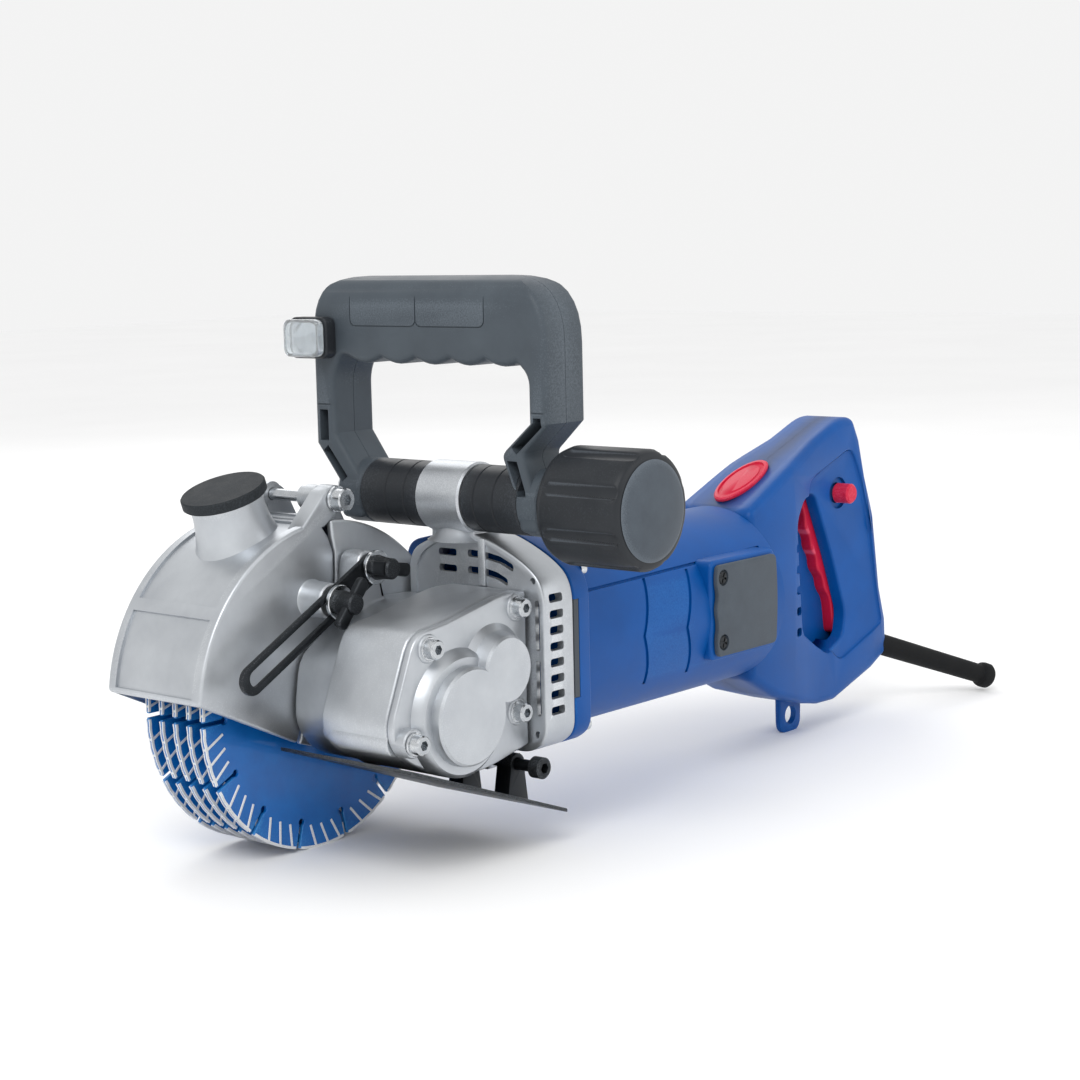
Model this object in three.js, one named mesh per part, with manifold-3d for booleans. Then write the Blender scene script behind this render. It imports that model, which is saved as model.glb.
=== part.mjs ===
// Five-blade wall chaser: a power tool that cuts parallel slots in masonry for cables and pipes.
// Units are millimetres. +X runs to the rear along the motor, +Y to the blade side, +Z up.
// Everything is laid out about the centre of the first blade; the last lines move the origin to
// the middle of the object's base.
import * as THREE from 'three';
import { mergeVertices } from 'three/addons/utils/BufferGeometryUtils.js';
import Module from 'manifold-3d';

const wasm = await Module();
wasm.setup();

// ---------------------------------------------------------------- driving dimensions
const fitGap = 0.3;             // between pieces that touch
const runningGap = 0.6;         // between pieces that pass each other

const bladeRadius = 78;
const bladeCount = 5;
const bladePitch = 10.2;
const bladeThickness = 2.4;
const bladeSegments = 14;
const rimSlotDepth = 13;
const rimSlotWidth = 3;
const arborRadius = 10.8;       // spindle where the blades sit
const spacerRadius = 22;
const nutThickness = 6;

const guardWall = 3;
const guardClearance = 9;       // blade rim to the guard's inner face
const guardNearY = -14;         // outer face of the guard's near wall
const guardCentreX = -1.7;
const guardCentreZ = 4;
const guardHingeX = 5.7;
const guardHingeRise = 10.3;    // hinge axis above the guard's outer rim
const guardBottomTilt = 22;     // degrees, the guard's lower edge falls to the rear

const portRadius = 18.5;
const portLength = 25;
const portLean = 18;            // degrees forward
const capRadius = 22;

const gearModule = 1.5;
const spindleTeeth = 30;
const idlerTeeth = 20;
const idlerAngle = 34;          // degrees above the horizontal, seen from the near side
const bevelModule = 1.6;
const ringTeeth = 27;
const pinionTeeth = 13;
const bevelFace = 9;
const gearFace = 12;

const motorY = -50;             // the motor's axis
const fanHousingDepth = 23.2;
const motorFlangeDepth = 13;
const motorRadius = 52;
const motorWall = 3;
const motorLength = 189;        // barrel, behind its flange
const housingRise = 63.3;       // motor axis to the top of the fan housing
const armatureRadius = 26;
const commutatorRadius = 14;

const handlePivotX = 62;
const sleeveRadius = 17.4;
const handleBoltRadius = 6;
const handleDepth = 32;
const handleHeight = 114;       // pivot to the top of the loop
const gripHeight = 42;
const legThickness = 12;
const handleNearY = -121;
const handleFarY = 41;
const neckWidth = 30;
const knobRadius = 30;
const knobLength = 52;

const armThickness = 3;
const armWidth = 15;
const armSlotWidth = 8.4;
const studRadius = 2.5;

const soleTilt = 20.4;          // degrees
const soleThickness = 2;
const triggerWidth = 15;
const bootRadius = 7;
const bootLength = 102;
const bootDroop = 19.5;         // degrees below the horizontal
const bootYaw = 22;             // degrees towards the near side

// ---------------------------------------------------------------- finishes
const finish = (color, roughness, metalness) =>
  new THREE.MeshStandardMaterial({ color, roughness, metalness });
const castAluminium = finish(0xc8ccd0, 0.45, 0.9);
const zincSteel = finish(0xb9bcc0, 0.35, 1);
const blackSteel = finish(0x26282b, 0.5, 0.8);
const gearSteel = finish(0x8d9196, 0.35, 1);
const bladeBlue = finish(0x1878be, 0.4, 0.3);
const blueAbs = finish(0x1b5fa8, 0.45, 0);
const blackNylon = finish(0x3a3f45, 0.6, 0);
const redPlastic = finish(0xc81e3c, 0.4, 0);
const rubber = finish(0x141618, 0.8, 0);
const clearLens = finish(0xdfe6ea, 0.1, 0);
const copper = finish(0xb87333, 0.4, 1);
const laminations = finish(0x5d6166, 0.5, 0.8);
const carbon = finish(0x1d1d1f, 0.9, 0);

// ---------------------------------------------------------------- shape helpers
const rad = THREE.MathUtils.degToRad;
const group = new THREE.Group();

// A closed three.js geometry as a solid that can be joined and cut.
function solid(geometry) {
  const bare = geometry.index ? geometry.toNonIndexed() : geometry.clone();
  bare.deleteAttribute('normal');
  bare.deleteAttribute('uv');
  const merged = mergeVertices(bare, 1e-4);
  const index = merged.index.array;
  const faces = [];
  for (let i = 0; i < index.length; i += 3) {
    const [a, b, c] = [index[i], index[i + 1], index[i + 2]];
    if (a !== b && b !== c && c !== a) faces.push(a, b, c);
  }
  const positions = merged.attributes.position.array;
  const build = (triangles) =>
    new wasm.Manifold(new wasm.Mesh({
      numProp: 3,
      vertProperties: positions,
      triVerts: new Uint32Array(triangles),
    }));
  const made = build(faces);
  if (made.volume() > 0) return made;
  return build(faces.reverse());
}

// Adds a solid to the model as one named sub-part.
function add(name, body, material) {
  const cut = body.getMesh();
  const stride = cut.numProp;
  const positions = new Float32Array(cut.numVert * 3);
  for (let i = 0; i < cut.numVert; i++) {
    positions.set(cut.vertProperties.subarray(i * stride, i * stride + 3), i * 3);
  }
  const geometry = new THREE.BufferGeometry();
  geometry.setAttribute('position', new THREE.BufferAttribute(positions, 3));
  geometry.setIndex(new THREE.BufferAttribute(cut.triVerts.slice(), 1));
  const shaded = geometry.toNonIndexed();
  shaded.computeVertexNormals();
  const mesh = new THREE.Mesh(shaded, material);
  mesh.name = name;
  group.add(mesh);
}

const union = (...bodies) => bodies.reduce((whole, body) => whole.add(body));

// A closed outline through corners [a, b, radius]; a radius rounds its corner.
function outline(corners, defaultRadius = 0) {
  const shape = new THREE.Shape();
  corners.forEach(([x, y, radius = defaultRadius], i) => {
    const here = new THREE.Vector2(x, y);
    if (!radius) {
      if (i) shape.lineTo(x, y);
      else shape.moveTo(x, y);
      return;
    }
    const towards = ([a, b]) => {
      const leg = new THREE.Vector2(a, b).sub(here);
      return leg.setLength(Math.min(radius, leg.length() * 0.49)).add(here);
    };
    const start = towards(corners.at(i - 1));
    const end = towards(corners[(i + 1) % corners.length]);
    if (i) shape.lineTo(start.x, start.y);
    else shape.moveTo(start.x, start.y);
    shape.quadraticCurveTo(x, y, end.x, end.y);
  });
  shape.closePath();
  return shape;
}

const extruded = (shape, depth, curveSegments) =>
  new THREE.ExtrudeGeometry(shape, { depth, curveSegments, bevelEnabled: false });

// Prisms: alongX takes an outline in (Y, Z) and alongY one in (X, Z).
const cyclic = new THREE.Matrix4().makeBasis(
  new THREE.Vector3(0, 1, 0), new THREE.Vector3(0, 0, 1), new THREE.Vector3(1, 0, 0));

function alongX(shape, from, to, curveSegments = 3) {
  const made = extruded(shape, to - from, curveSegments).applyMatrix4(cyclic);
  return solid(made.translate(from, 0, 0));
}

function alongY(shape, from, to, curveSegments = 3) {
  const made = extruded(shape, to - from, curveSegments).rotateX(Math.PI / 2);
  return solid(made.translate(0, to, 0));
}

function box(xs, ys, zs) {
  const made = new THREE.BoxGeometry(xs[1] - xs[0], ys[1] - ys[0], zs[1] - zs[0]);
  made.translate((xs[0] + xs[1]) / 2, (ys[0] + ys[1]) / 2, (zs[0] + zs[1]) / 2);
  return solid(made);
}

// Turned pieces: profile points are [radius, distance along the axis].
function turnedY(profile, [x, z] = [0, 0], segments = 24) {
  const points = profile.map(([r, s]) => new THREE.Vector2(r, s));
  return solid(new THREE.LatheGeometry(points, segments).translate(x, 0, z));
}

function turnedX(profile, [y, z] = [0, 0], segments = 24) {
  const points = profile.map(([r, s]) => new THREE.Vector2(r, s));
  const made = new THREE.LatheGeometry(points, segments).rotateZ(-Math.PI / 2);
  return solid(made.translate(0, y, z));
}

const rodProfile = (radius, from, to) => [[0, from], [radius, from], [radius, to], [0, to]];
const ringProfile = (inner, outer, from, to) =>
  [[inner, from], [outer, from], [outer, to], [inner, to], [inner, from]];
const rodY = (radius, from, to, at, segments) => turnedY(rodProfile(radius, from, to), at, segments);
const rodX = (radius, from, to, at, segments) => turnedX(rodProfile(radius, from, to), at, segments);
const ringY = (inner, outer, from, to, at, segments) =>
  turnedY(ringProfile(inner, outer, from, to), at, segments);
const ringX = (inner, outer, from, to, at, segments) =>
  turnedX(ringProfile(inner, outer, from, to), at, segments);

const polar = (radius, degrees, [x, z] = [0, 0]) =>
  [x + radius * Math.cos(rad(degrees)), z + radius * Math.sin(rad(degrees))];

// Points of an arc, both ends included.
function arcPoints(radius, from, to, centre, steps) {
  return Array.from({ length: steps + 1 }, (_, i) =>
    polar(radius, from + (to - from) * i / steps, centre));
}

// ---------------------------------------------------------------- places worked out from the sizes
const spindleAxis = [0, 0];
const gearDistance = gearModule * (spindleTeeth + idlerTeeth) / 2;
const idlerAxis = polar(gearDistance, idlerAngle);
const [idlerX, idlerZ] = idlerAxis;
const motorAxis = [motorY, idlerZ];
const motorZ = idlerZ;
const ringPitchRadius = bevelModule * ringTeeth / 2;
const pinionPitchRadius = bevelModule * pinionTeeth / 2;

const guardInner = bladeRadius + guardClearance;
const guardOuter = guardInner + guardWall;
const guardCentre = [guardCentreX, guardCentreZ];
const lastBladeY = (bladeCount - 1) * bladePitch;
const nutFromY = lastBladeY + bladeThickness / 2 + fitGap;
const guardFarY = nutFromY + nutThickness + 4 + guardWall;
const hingeAxis = [guardHingeX, guardCentreZ + guardOuter + guardHingeRise];

const coverPlaneY = -97;        // outer face of the gear cover's flange
const coverFlange = 4.7;
const caseNearY = coverPlaneY + coverFlange + fitGap;
const caseFarY = guardNearY - fitGap;
const coverNoseY = coverPlaneY - 11;
const fanFrontX = idlerX + ringPitchRadius + 3.3;
const fanRearX = fanFrontX + fanHousingDepth;
const flangeFromX = fanRearX + fitGap;
const guardRearX = guardCentreX + guardOuter;
const barrelFromX = Math.max(flangeFromX + motorFlangeDepth, guardRearX + 6);
const motorRearX = barrelFromX + motorLength;
const housingNearY = motorY - 59;
const housingFarY = motorY + 58;
const pivotReach = guardOuter + sleeveRadius + 9.5;
// the handle's pivot clears both the guard and the fan housing
const pivotZ = Math.max(
  guardCentreZ + Math.sqrt(pivotReach ** 2 - (handlePivotX - guardCentreX) ** 2),
  motorZ + housingRise + sleeveRadius + fitGap);
const pivotAxis = [handlePivotX, pivotZ];

const armNearY = guardNearY - 18.5;
const armFarY = armNearY + armThickness;
const upperStud = [13, hingeAxis[1] - 34.5];
const lowerStud = [-14, hingeAxis[1] - 48.7];
const solePin = [57, -34];
const soleFrontX = -40;
const soleRearX = 76;
const soleNearY = -105;

// The space the guard takes, with room round it, that the housings are notched for.
const guardEnvelope = rodY(guardOuter + 1.5, guardNearY - 1, guardFarY + 20, guardCentre, 48);

// ---------------------------------------------------------------- blades and spindle
function bladeBody() {
  const shape = new THREE.Shape();
  const step = 360 / bladeSegments;
  const halfSlot = THREE.MathUtils.radToDeg(rimSlotWidth / 2 / bladeRadius);
  for (let i = 0; i < bladeSegments; i++) {
    const from = i * step + halfSlot;
    const to = (i + 1) * step - halfSlot;
    const rim = arcPoints(bladeRadius, from, to, spindleAxis, 2);
    const foot = polar(bladeRadius - rimSlotDepth, (i + 1) * step, spindleAxis);
    rim.push(foot);
    rim.forEach(([x, z], k) => (i || k ? shape.lineTo(x, z) : shape.moveTo(x, z)));
  }
  shape.closePath();
  const bore = new THREE.Path();
  bore.absarc(0, 0, arborRadius + fitGap, 0, 2 * Math.PI, true);
  shape.holes.push(bore);
  return shape;
}

function addBlades() {
  for (let i = 0; i < bladeCount; i++) {
    const centre = i * bladePitch;
    const half = bladeThickness / 2;
    add(`blade_${i + 1}`, alongY(bladeBody(), centre - half, centre + half, 12), bladeBlue);
    if (i === bladeCount - 1) continue;
    const from = centre + half + fitGap;
    const to = centre + bladePitch - half - fitGap;
    add(`blade_spacer_${i + 1}`,
      ringY(arborRadius + fitGap, spacerRadius, from, to, spindleAxis, 24), zincSteel);
  }
}

// Gear outline with straight-flanked teeth that run with backlash.
function gearOutline(teeth, module, bore) {
  const pitch = module * teeth / 2;
  const points = [];
  const step = 360 / teeth;
  for (let i = 0; i < teeth; i++) {
    const at = i * step;
    const corner = (radius, share) => points.push(polar(radius, at + step * share));
    corner(pitch - 1.2 * module, -0.3);
    corner(pitch + 0.9 * module, -0.1);
    corner(pitch + 0.9 * module, 0.1);
    corner(pitch - 1.2 * module, 0.3);
  }
  const shape = outline(points);
  const hole = new THREE.Path();
  hole.absarc(0, 0, bore, 0, 2 * Math.PI, true);
  shape.holes.push(hole);
  return shape;
}

// A spur gear on an axis along Y, turned so that a tooth points at the given angle.
function spurGear(teeth, bore, from, to, [x, z], toothAngle) {
  const flat = extruded(gearOutline(teeth, gearModule, bore), to - from, 12);
  flat.rotateZ(rad(toothAngle)).rotateX(Math.PI / 2);
  return solid(flat.translate(x, to, z));
}

const spurFarY = caseNearY + 4 + gearFace;
const spurNearY = caseNearY + 4;
const bearingWidth = 10;
const spindleHub = 8;
const flangeFromY = guardNearY + guardWall + 2.2;
const bladeFaceY = -bladeThickness / 2 - fitGap;

function addSpindle() {
  const nose = coverNoseY + 3.5;
  const profile = [
    [0, nose], [6, nose], [6, spurNearY - 1], [spindleHub, spurNearY - 1],
    [spindleHub, flangeFromY], [24, flangeFromY], [24, bladeFaceY], [arborRadius, bladeFaceY],
    [arborRadius, nutFromY + nutThickness + 2], [0, nutFromY + nutThickness + 2],
  ];
  add('spindle', turnedY(profile, spindleAxis, 32), gearSteel);
  const nutTo = nutFromY + nutThickness;
  const nut = rodY(spacerRadius - 2, nutFromY, nutTo, spindleAxis, 6)
    .subtract(rodY(arborRadius + fitGap, nutFromY - 1, nutTo + 1));
  add('clamp_nut', nut, zincSteel);
  add('spindle_gear', spurGear(spindleTeeth, spindleHub + fitGap, spurNearY, spurFarY, spindleAxis,
    idlerAngle), gearSteel);
  add('spindle_bearing_inner', ringY(6 + fitGap, 16, coverNoseY + 4, coverNoseY + 4 + bearingWidth,
    spindleAxis), zincSteel);
  add('spindle_bearing_outer', ringY(spindleHub + fitGap, 20, caseFarY - 16, caseFarY - 4,
    spindleAxis), zincSteel);
}

// Straight bevel gear with its apex at the origin and its axis along +Z, big end towards +Z.
function bevelGear(teeth, mate, bore, hub, firstTooth) {
  const pitch = bevelModule * teeth / 2;
  const cone = Math.atan(teeth / mate);
  const reach = pitch / Math.sin(cone);
  const small = (reach - bevelFace) / reach;
  const root = 1.15 * bevelModule;
  const rootRadius = pitch - root * Math.cos(cone);
  const rootHeight = pitch / Math.tan(cone) + root * Math.sin(cone);
  const profile = [
    [bore, rootHeight * small], [rootRadius * small, rootHeight * small],
    [rootRadius, rootHeight], [rootRadius, rootHeight + hub], [bore, rootHeight + hub],
    [bore, rootHeight * small],
  ];
  const points = profile.map(([r, s]) => new THREE.Vector2(r, s));
  let body = solid(new THREE.LatheGeometry(points, 32).rotateX(Math.PI / 2));
  const halfTop = 0.38 * bevelModule;
  const halfFoot = 0.98 * bevelModule;
  const section = outline([[-halfFoot, -root - 0.4], [halfFoot, -root - 0.4],
    [halfTop, 0.85 * bevelModule], [-halfTop, 0.85 * bevelModule]]);
  for (let i = 0; i < teeth; i++) {
    const tooth = extruded(section, bevelFace, 1);
    const corners = tooth.attributes.position;
    for (let k = 0; k < corners.count; k++) {
      const scale = 1 - corners.getZ(k) / reach;
      corners.setXY(k, corners.getX(k) * scale, corners.getY(k) * scale);
    }
    // the tooth runs from its big end at the pitch circle towards the apex
    tooth.rotateY(Math.PI).translate(0, 0, reach).rotateX(-cone);
    tooth.rotateZ(rad(firstTooth + 360 * i / teeth) - Math.PI / 2);
    body = body.add(solid(tooth));
  }
  return body;
}

// Turns a solid built on +Z so that +Z lies along the given direction, and moves it.
function aimed(body, from, direction, [x, y, z]) {
  const turn = new THREE.Matrix4().makeRotationFromQuaternion(
    new THREE.Quaternion().setFromUnitVectors(from, direction));
  turn.setPosition(x, y, z);
  return body.transform([...turn.elements]);
}

const zAxis = new THREE.Vector3(0, 0, 1);
const bevelApex = [idlerX, motorY, idlerZ];

function addIdler() {
  const nearEnd = coverNoseY + 3.5;
  const farEnd = caseFarY - 5;
  const pinionRoot = gearModule * (idlerTeeth / 2 - 1.2);
  const shaft = turnedY([
    [0, nearEnd], [5, nearEnd], [5, spurNearY - 1], [pinionRoot - 1, spurNearY - 1],
    [pinionRoot - 1, spurFarY + 1], [7, spurFarY + 1], [7, farEnd - 11], [5, farEnd - 11],
    [5, farEnd], [0, farEnd],
  ], idlerAxis, 24);
  const halfTooth = 180 / idlerTeeth;
  const teeth = spurGear(idlerTeeth, 4, spurNearY, spurFarY, idlerAxis, idlerAngle + halfTooth);
  add('idler_shaft', shaft.add(teeth), gearSteel);
  const ring = bevelGear(ringTeeth, pinionTeeth, 7 + fitGap, 5, 0);
  add('bevel_ring_gear', aimed(ring, zAxis, new THREE.Vector3(0, -1, 0), bevelApex), gearSteel);
  add('idler_bearing', ringY(5 + fitGap, 12, farEnd - 9, farEnd - 1, idlerAxis), zincSteel);
}

const fanFromX = barrelFromX + 4;
const coreFromX = barrelFromX + 34;
const coreLength = 0.4 * motorLength;
const commutatorFromX = coreFromX + coreLength + 24;
const commutatorLength = 20;
const rearBearingX = commutatorFromX + commutatorLength + 14;

function addArmature() {
  const front = idlerX + ringPitchRadius;
  const shaftProfile = [
    [0, front - bevelFace + 2], [5.2, front - bevelFace + 2], [5.2, front + 3], [7.5, front + 3],
    [7.5, coreFromX - 8], [8, coreFromX - 8], [8, commutatorFromX + commutatorLength + 2],
    [4, commutatorFromX + commutatorLength + 2], [4, rearBearingX + 9], [0, rearBearingX + 9],
  ];
  const pinion = bevelGear(pinionTeeth, ringTeeth, 4, 2.5, 180 / pinionTeeth - 90);
  const placed = aimed(pinion, zAxis, new THREE.Vector3(1, 0, 0), bevelApex);
  add('armature_shaft', turnedX(shaftProfile, motorAxis, 24).add(placed), gearSteel);
  const clear = 8 + fitGap;
  const slots = Array.from({ length: 12 }, (_, i) => {
    const [y, z] = polar(armatureRadius, 30 * i, motorAxis);
    return rodX(2.2, coreFromX - 1, coreFromX + coreLength + 1, [y, z], 6);
  });
  const core = ringX(clear, armatureRadius, coreFromX, coreFromX + coreLength, motorAxis);
  add('armature_core', core.subtract(union(...slots)), laminations);
  add('commutator', ringX(clear, commutatorRadius, commutatorFromX,
    commutatorFromX + commutatorLength, motorAxis, 24), copper);
  const blades = Array.from({ length: 9 }, (_, i) => {
    const blade = box([fanFromX + 2, fanFromX + 12], [-0.9, 0.9], [12, 42]);
    const turn = new THREE.Matrix4().makeRotationX(rad(40 * i));
    turn.setPosition(0, motorY, motorZ);
    return blade.transform([...turn.elements]);
  });
  const disc = union(ringX(7.5 + fitGap, 43, fanFromX, fanFromX + 2.5, motorAxis),
    ringX(7.5 + fitGap, 13, fanFromX, fanFromX + 12, motorAxis, 20));
  add('cooling_fan', union(disc, ...blades), blackNylon);
  add('armature_bearing_front', ringX(7.5 + fitGap, 17.5, fanFrontX + 6, fanFrontX + 17, motorAxis),
    zincSteel);
  add('armature_bearing_rear', ringX(4 + fitGap, 11, rearBearingX, rearBearingX + 7, motorAxis, 24),
    zincSteel);
}

// ---------------------------------------------------------------- gear case, cover and fan housing
const coverScrews = [[-17.5, 39], [-35, -4], [48, 50], [47, -3.5]];
const coverOutline = outline([[-26, 47], [-45, 2], [-38, -12], [-20, -22], [-6, -27.5], [22, -29],
  [fanFrontX - fitGap, -22, 0], [fanFrontX - fitGap, 57, 0], [38, 58], [-6, 49]], 9);
const screwLength = 24;

function addGearCase() {
  const neckOutline = outline([[-26, 28], [-31, -4], [-22, -19], [-6, -27], [22, -28],
    [fanFrontX - fitGap, -20, 0], [fanFrontX - fitGap, 50, 0], [14, 52], [-8, 38]], 9);
  const wide = alongY(coverOutline, caseNearY, guardNearY - 34);
  const narrow = alongY(neckOutline, guardNearY - 36, caseFarY);
  const post = alongY(outline([[1, 48], [24, 48], [20, 78], [6, 78]], 6), armFarY + runningGap,
    caseFarY);
  const studPost = rodY(8, armFarY + runningGap, caseFarY, upperStud, 16);
  const gearRoom = gearModule * spindleTeeth / 2 + 2.6;
  const idlerRoom = Math.max(gearModule * idlerTeeth / 2, ringPitchRadius) + 1.4;
  const rooms = union(
    rodY(gearRoom, caseNearY - 1, caseFarY - 16 - fitGap, spindleAxis),
    rodY(idlerRoom, caseNearY - 1, caseFarY - 16 - fitGap, idlerAxis),
    rodY(20 + fitGap, caseFarY - 18, caseFarY - 4 + fitGap, spindleAxis),
    rodY(12 + fitGap, caseFarY - 18, caseFarY - 4, idlerAxis),
    rodY(spindleHub + runningGap, caseFarY - 8, caseFarY + 1, spindleAxis),
    rodX(pinionPitchRadius + 3, idlerX, fanFrontX + 2, motorAxis));
  const holes = coverScrews.map((at) => rodY(2.5, caseNearY - 1, caseNearY + screwLength, at, 12));
  const studHole = rodY(studRadius + fitGap, armNearY, caseFarY - 3, upperStud, 12);
  const whole = union(wide, narrow, post, studPost);
  add('gear_case', whole.subtract(union(rooms, studHole, ...holes)).subtract(guardEnvelope),
    castAluminium);
}

function addGearCover() {
  const plate = alongY(coverOutline, coverPlaneY, coverPlaneY + coverFlange);
  const step = turnedY([[0, coverPlaneY - 5], [30, coverPlaneY - 5], [33, coverPlaneY + 1],
    [0, coverPlaneY + 1]], spindleAxis);
  const gearBulge = turnedY([[0, coverNoseY], [20, coverNoseY], [23, coverNoseY + 3],
    [23, coverPlaneY], [0, coverPlaneY]], spindleAxis);
  const idlerBulge = turnedY([[0, coverNoseY + 1], [14, coverNoseY + 1], [16.5, coverNoseY + 3],
    [16.5, coverPlaneY + 1], [0, coverPlaneY + 1]], idlerAxis, 24);
  const rooms = union(
    rodY(16 + fitGap, coverNoseY + 3.4, coverPlaneY + coverFlange + 1, spindleAxis),
    rodY(11, coverNoseY + 3, coverPlaneY + coverFlange + 1, idlerAxis, 24));
  const holes = coverScrews.map((at) => rodY(2.5, coverPlaneY - 8, caseNearY + 1, at, 12));
  const body = union(plate, step, gearBulge, idlerBulge);
  const trimmed = body.intersect(alongY(coverOutline, coverNoseY - 1, coverPlaneY + coverFlange));
  add('gear_cover', trimmed.subtract(union(rooms, ...holes)), castAluminium);
  const rim = coverPlaneY - 5.3 - fitGap;
  coverScrews.forEach(([x, z], i) => {
    const [px, pz] = spindleAxis;
    const seat = Math.hypot(x - px, z - pz) < 40 ? rim : coverPlaneY - fitGap;
    const screw = turnedY([[0, seat - 6], [4.2, seat - 6], [4.2, seat], [2.2, seat],
      [2.2, caseNearY + screwLength - 2], [0, caseNearY + screwLength - 2]], [x, z], 12);
    add(`cover_screw_${i + 1}`, screw, blackSteel);
  });
}

// Outline of the fan housing and of the motor's flange, in (Y, Z), at a chosen inset.
function housingOutline(inset, farY) {
  const near = housingNearY + inset;
  const far = farY - inset;
  const apex = motorZ + housingRise - inset;
  return outline([[near, -19 + inset, 8], [near + 12, -27 + inset, 6], [far - 8, -27 + inset, 6],
    [far, -19 + inset, 6], [far, apex - 12, 10], [motorY + 8, apex, 24], [motorY - 16, apex, 24],
    [near + 14, apex - 12, 18], [near, apex - 24, 12]]);
}

function addFanHousing() {
  const farY = guardNearY - 2;
  const shell = alongX(housingOutline(0, farY), fanFrontX, fanRearX, 3);
  const room = alongX(housingOutline(4, farY), fanFrontX + 4, fanRearX + 1, 3);
  const seat = ringX(17.5 + fitGap, 22, fanFrontX + 3, fanFrontX + 17, motorAxis);
  const shoulder = ringX(12.5, 22, fanFrontX + 1, fanFrontX + 6 - fitGap, motorAxis);
  const neckTop = rodY(sleeveRadius + 1.2, motorY + 2 - neckWidth / 2, motorY + 2 + neckWidth / 2,
    pivotAxis);
  const neckBase = box([handlePivotX - 6, handlePivotX + 15.5],
    [motorY + 2 - neckWidth / 2, motorY + 2 + neckWidth / 2], [motorZ + 58, pivotZ]);
  const boltHole = rodY(handleBoltRadius + fitGap, motorY - 20, motorY + 24, pivotAxis, 16);
  const frontSlots = [0, 1].flatMap((row) => {
    const z = motorZ + 53 - 9 * row;
    return [
      box([fanFrontX - 1, fanFrontX + 5], [motorY - 1, motorY + 14], [z - 2, z + 2]),
      box([fanFrontX - 1, fanFrontX + 5], [motorY - 36, motorY - 8], [z - 3, z + 1]),
    ];
  });
  const sideSlots = Array.from({ length: 8 }, (_, i) => {
    const z = motorZ + 33 - 8.4 * i;
    return box([fanFrontX + 6, fanFrontX + 15], [housingNearY - 1, housingNearY + 5], [z - 2.2, z + 2.2]);
  });
  const hinge = [-68, -38].map((y) =>
    box([solePin[0] - 1 + fitGap, solePin[0] + 9], [y, y + 8], [solePin[1] - 6, -24]));
  const hingeHole = rodY(3 + fitGap, soleNearY, guardNearY, solePin, 12);
  const pinionHole = rodX(12, fanFrontX - 1, fanFrontX + 5, motorAxis, 24);
  const whole = union(shell.subtract(room), shoulder, seat, neckTop, neckBase, ...hinge);
  const cuts = union(pinionHole, boltHole, hingeHole, ...frontSlots, ...sideSlots);
  add('fan_housing', whole.subtract(cuts).subtract(guardEnvelope), castAluminium);
}

// ---------------------------------------------------------------- guard
const tiltSlope = Math.tan(rad(guardBottomTilt));
const bottomZ = (x) => -17 - tiltSlope * (x + 27);
const seamRise = guardOuter - 90;

function ringSector(from, to, nearY, farY, steps) {
  const outer = arcPoints(guardOuter, from, to, guardCentre, steps);
  const inner = arcPoints(guardInner, to, from, guardCentre, steps);
  return alongY(outline([...outer, ...inner]), nearY, farY);
}

// The side wall's outline between two rim angles, closed along the seam or the lower edge.
function wallOutline(from, to, rest, steps) {
  return outline([...arcPoints(guardOuter, from, to, guardCentre, steps), ...rest]);
}

function addGuardCover() {
  const top = 93;
  const front = 174;
  const seam = [[-27, bottomZ(-27)], [-19, 6], [-14, 20], [-3.6, 34], [2.9, 64 + seamRise],
    [3, 77 + seamRise], [-0.5, 86 + seamRise]];
  const wall = wallOutline(top, front, seam, 10);
  const nearWall = alongY(wall, guardNearY, guardNearY + guardWall);
  const farWall = alongY(wall, guardFarY - guardWall, guardFarY);
  const rim = ringSector(top, front, guardNearY, guardFarY, 10);
  const [hx, hz] = hingeAxis;
  const ear = outline([[-22, guardCentreZ + guardInner - 4], [-4, guardCentreZ + guardInner],
    [hx + 5, hz - 4, 3], [hx + 2, hz + 7, 3], [hx - 7, hz + 5, 3]]);
  const ears = [[guardNearY, guardNearY + 11], [guardFarY - 11, guardFarY]].map(([a, b]) =>
    union(alongY(ear, a, b), rodY(7, a, b, hingeAxis, 16)));
  const boss = rodY(9, armFarY + runningGap, guardNearY + 1, lowerStud, 16);
  const lean = new THREE.Matrix4().makeRotationY(rad(-portLean));
  const portY = (guardNearY + guardFarY) / 2;
  const [px, pz] = polar(guardInner - 3, 90 + portLean + 2, guardCentre);
  lean.setPosition(px, portY, pz);
  const leaning = (radius, from, to) => solid(new THREE.CylinderGeometry(
    radius, radius, to - from, 24).translate(0, (from + to) / 2, 0).rotateX(Math.PI / 2)
    .applyMatrix4(lean));
  const port = leaning(portRadius, -6, portLength);
  const bore = leaning(portRadius - 2.5, -30, portLength + 1);
  const inside = rodY(guardInner, guardNearY - 20, guardFarY + 20, guardCentre, 48);
  const pinHole = rodY(3 + fitGap, guardNearY - 1, guardFarY + 1, hingeAxis, 12);
  const studHole = rodY(studRadius + fitGap, armNearY, guardNearY - 3, lowerStud, 12);
  const whole = union(nearWall, farWall, rim, ...ears, boss, port.subtract(inside));
  add('guard_cover', whole.subtract(union(bore, pinHole, studHole)), castAluminium);

  const capTop = portLength + 6;
  const cap = union(leaning(capRadius, portLength + fitGap, capTop),
    leaning(portRadius - 2.5 - fitGap, portLength - 8, portLength + 1));
  add('dust_cap', cap.subtract(leaning(portRadius - 6, portLength - 9, portLength + 2)), rubber);
}

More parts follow.
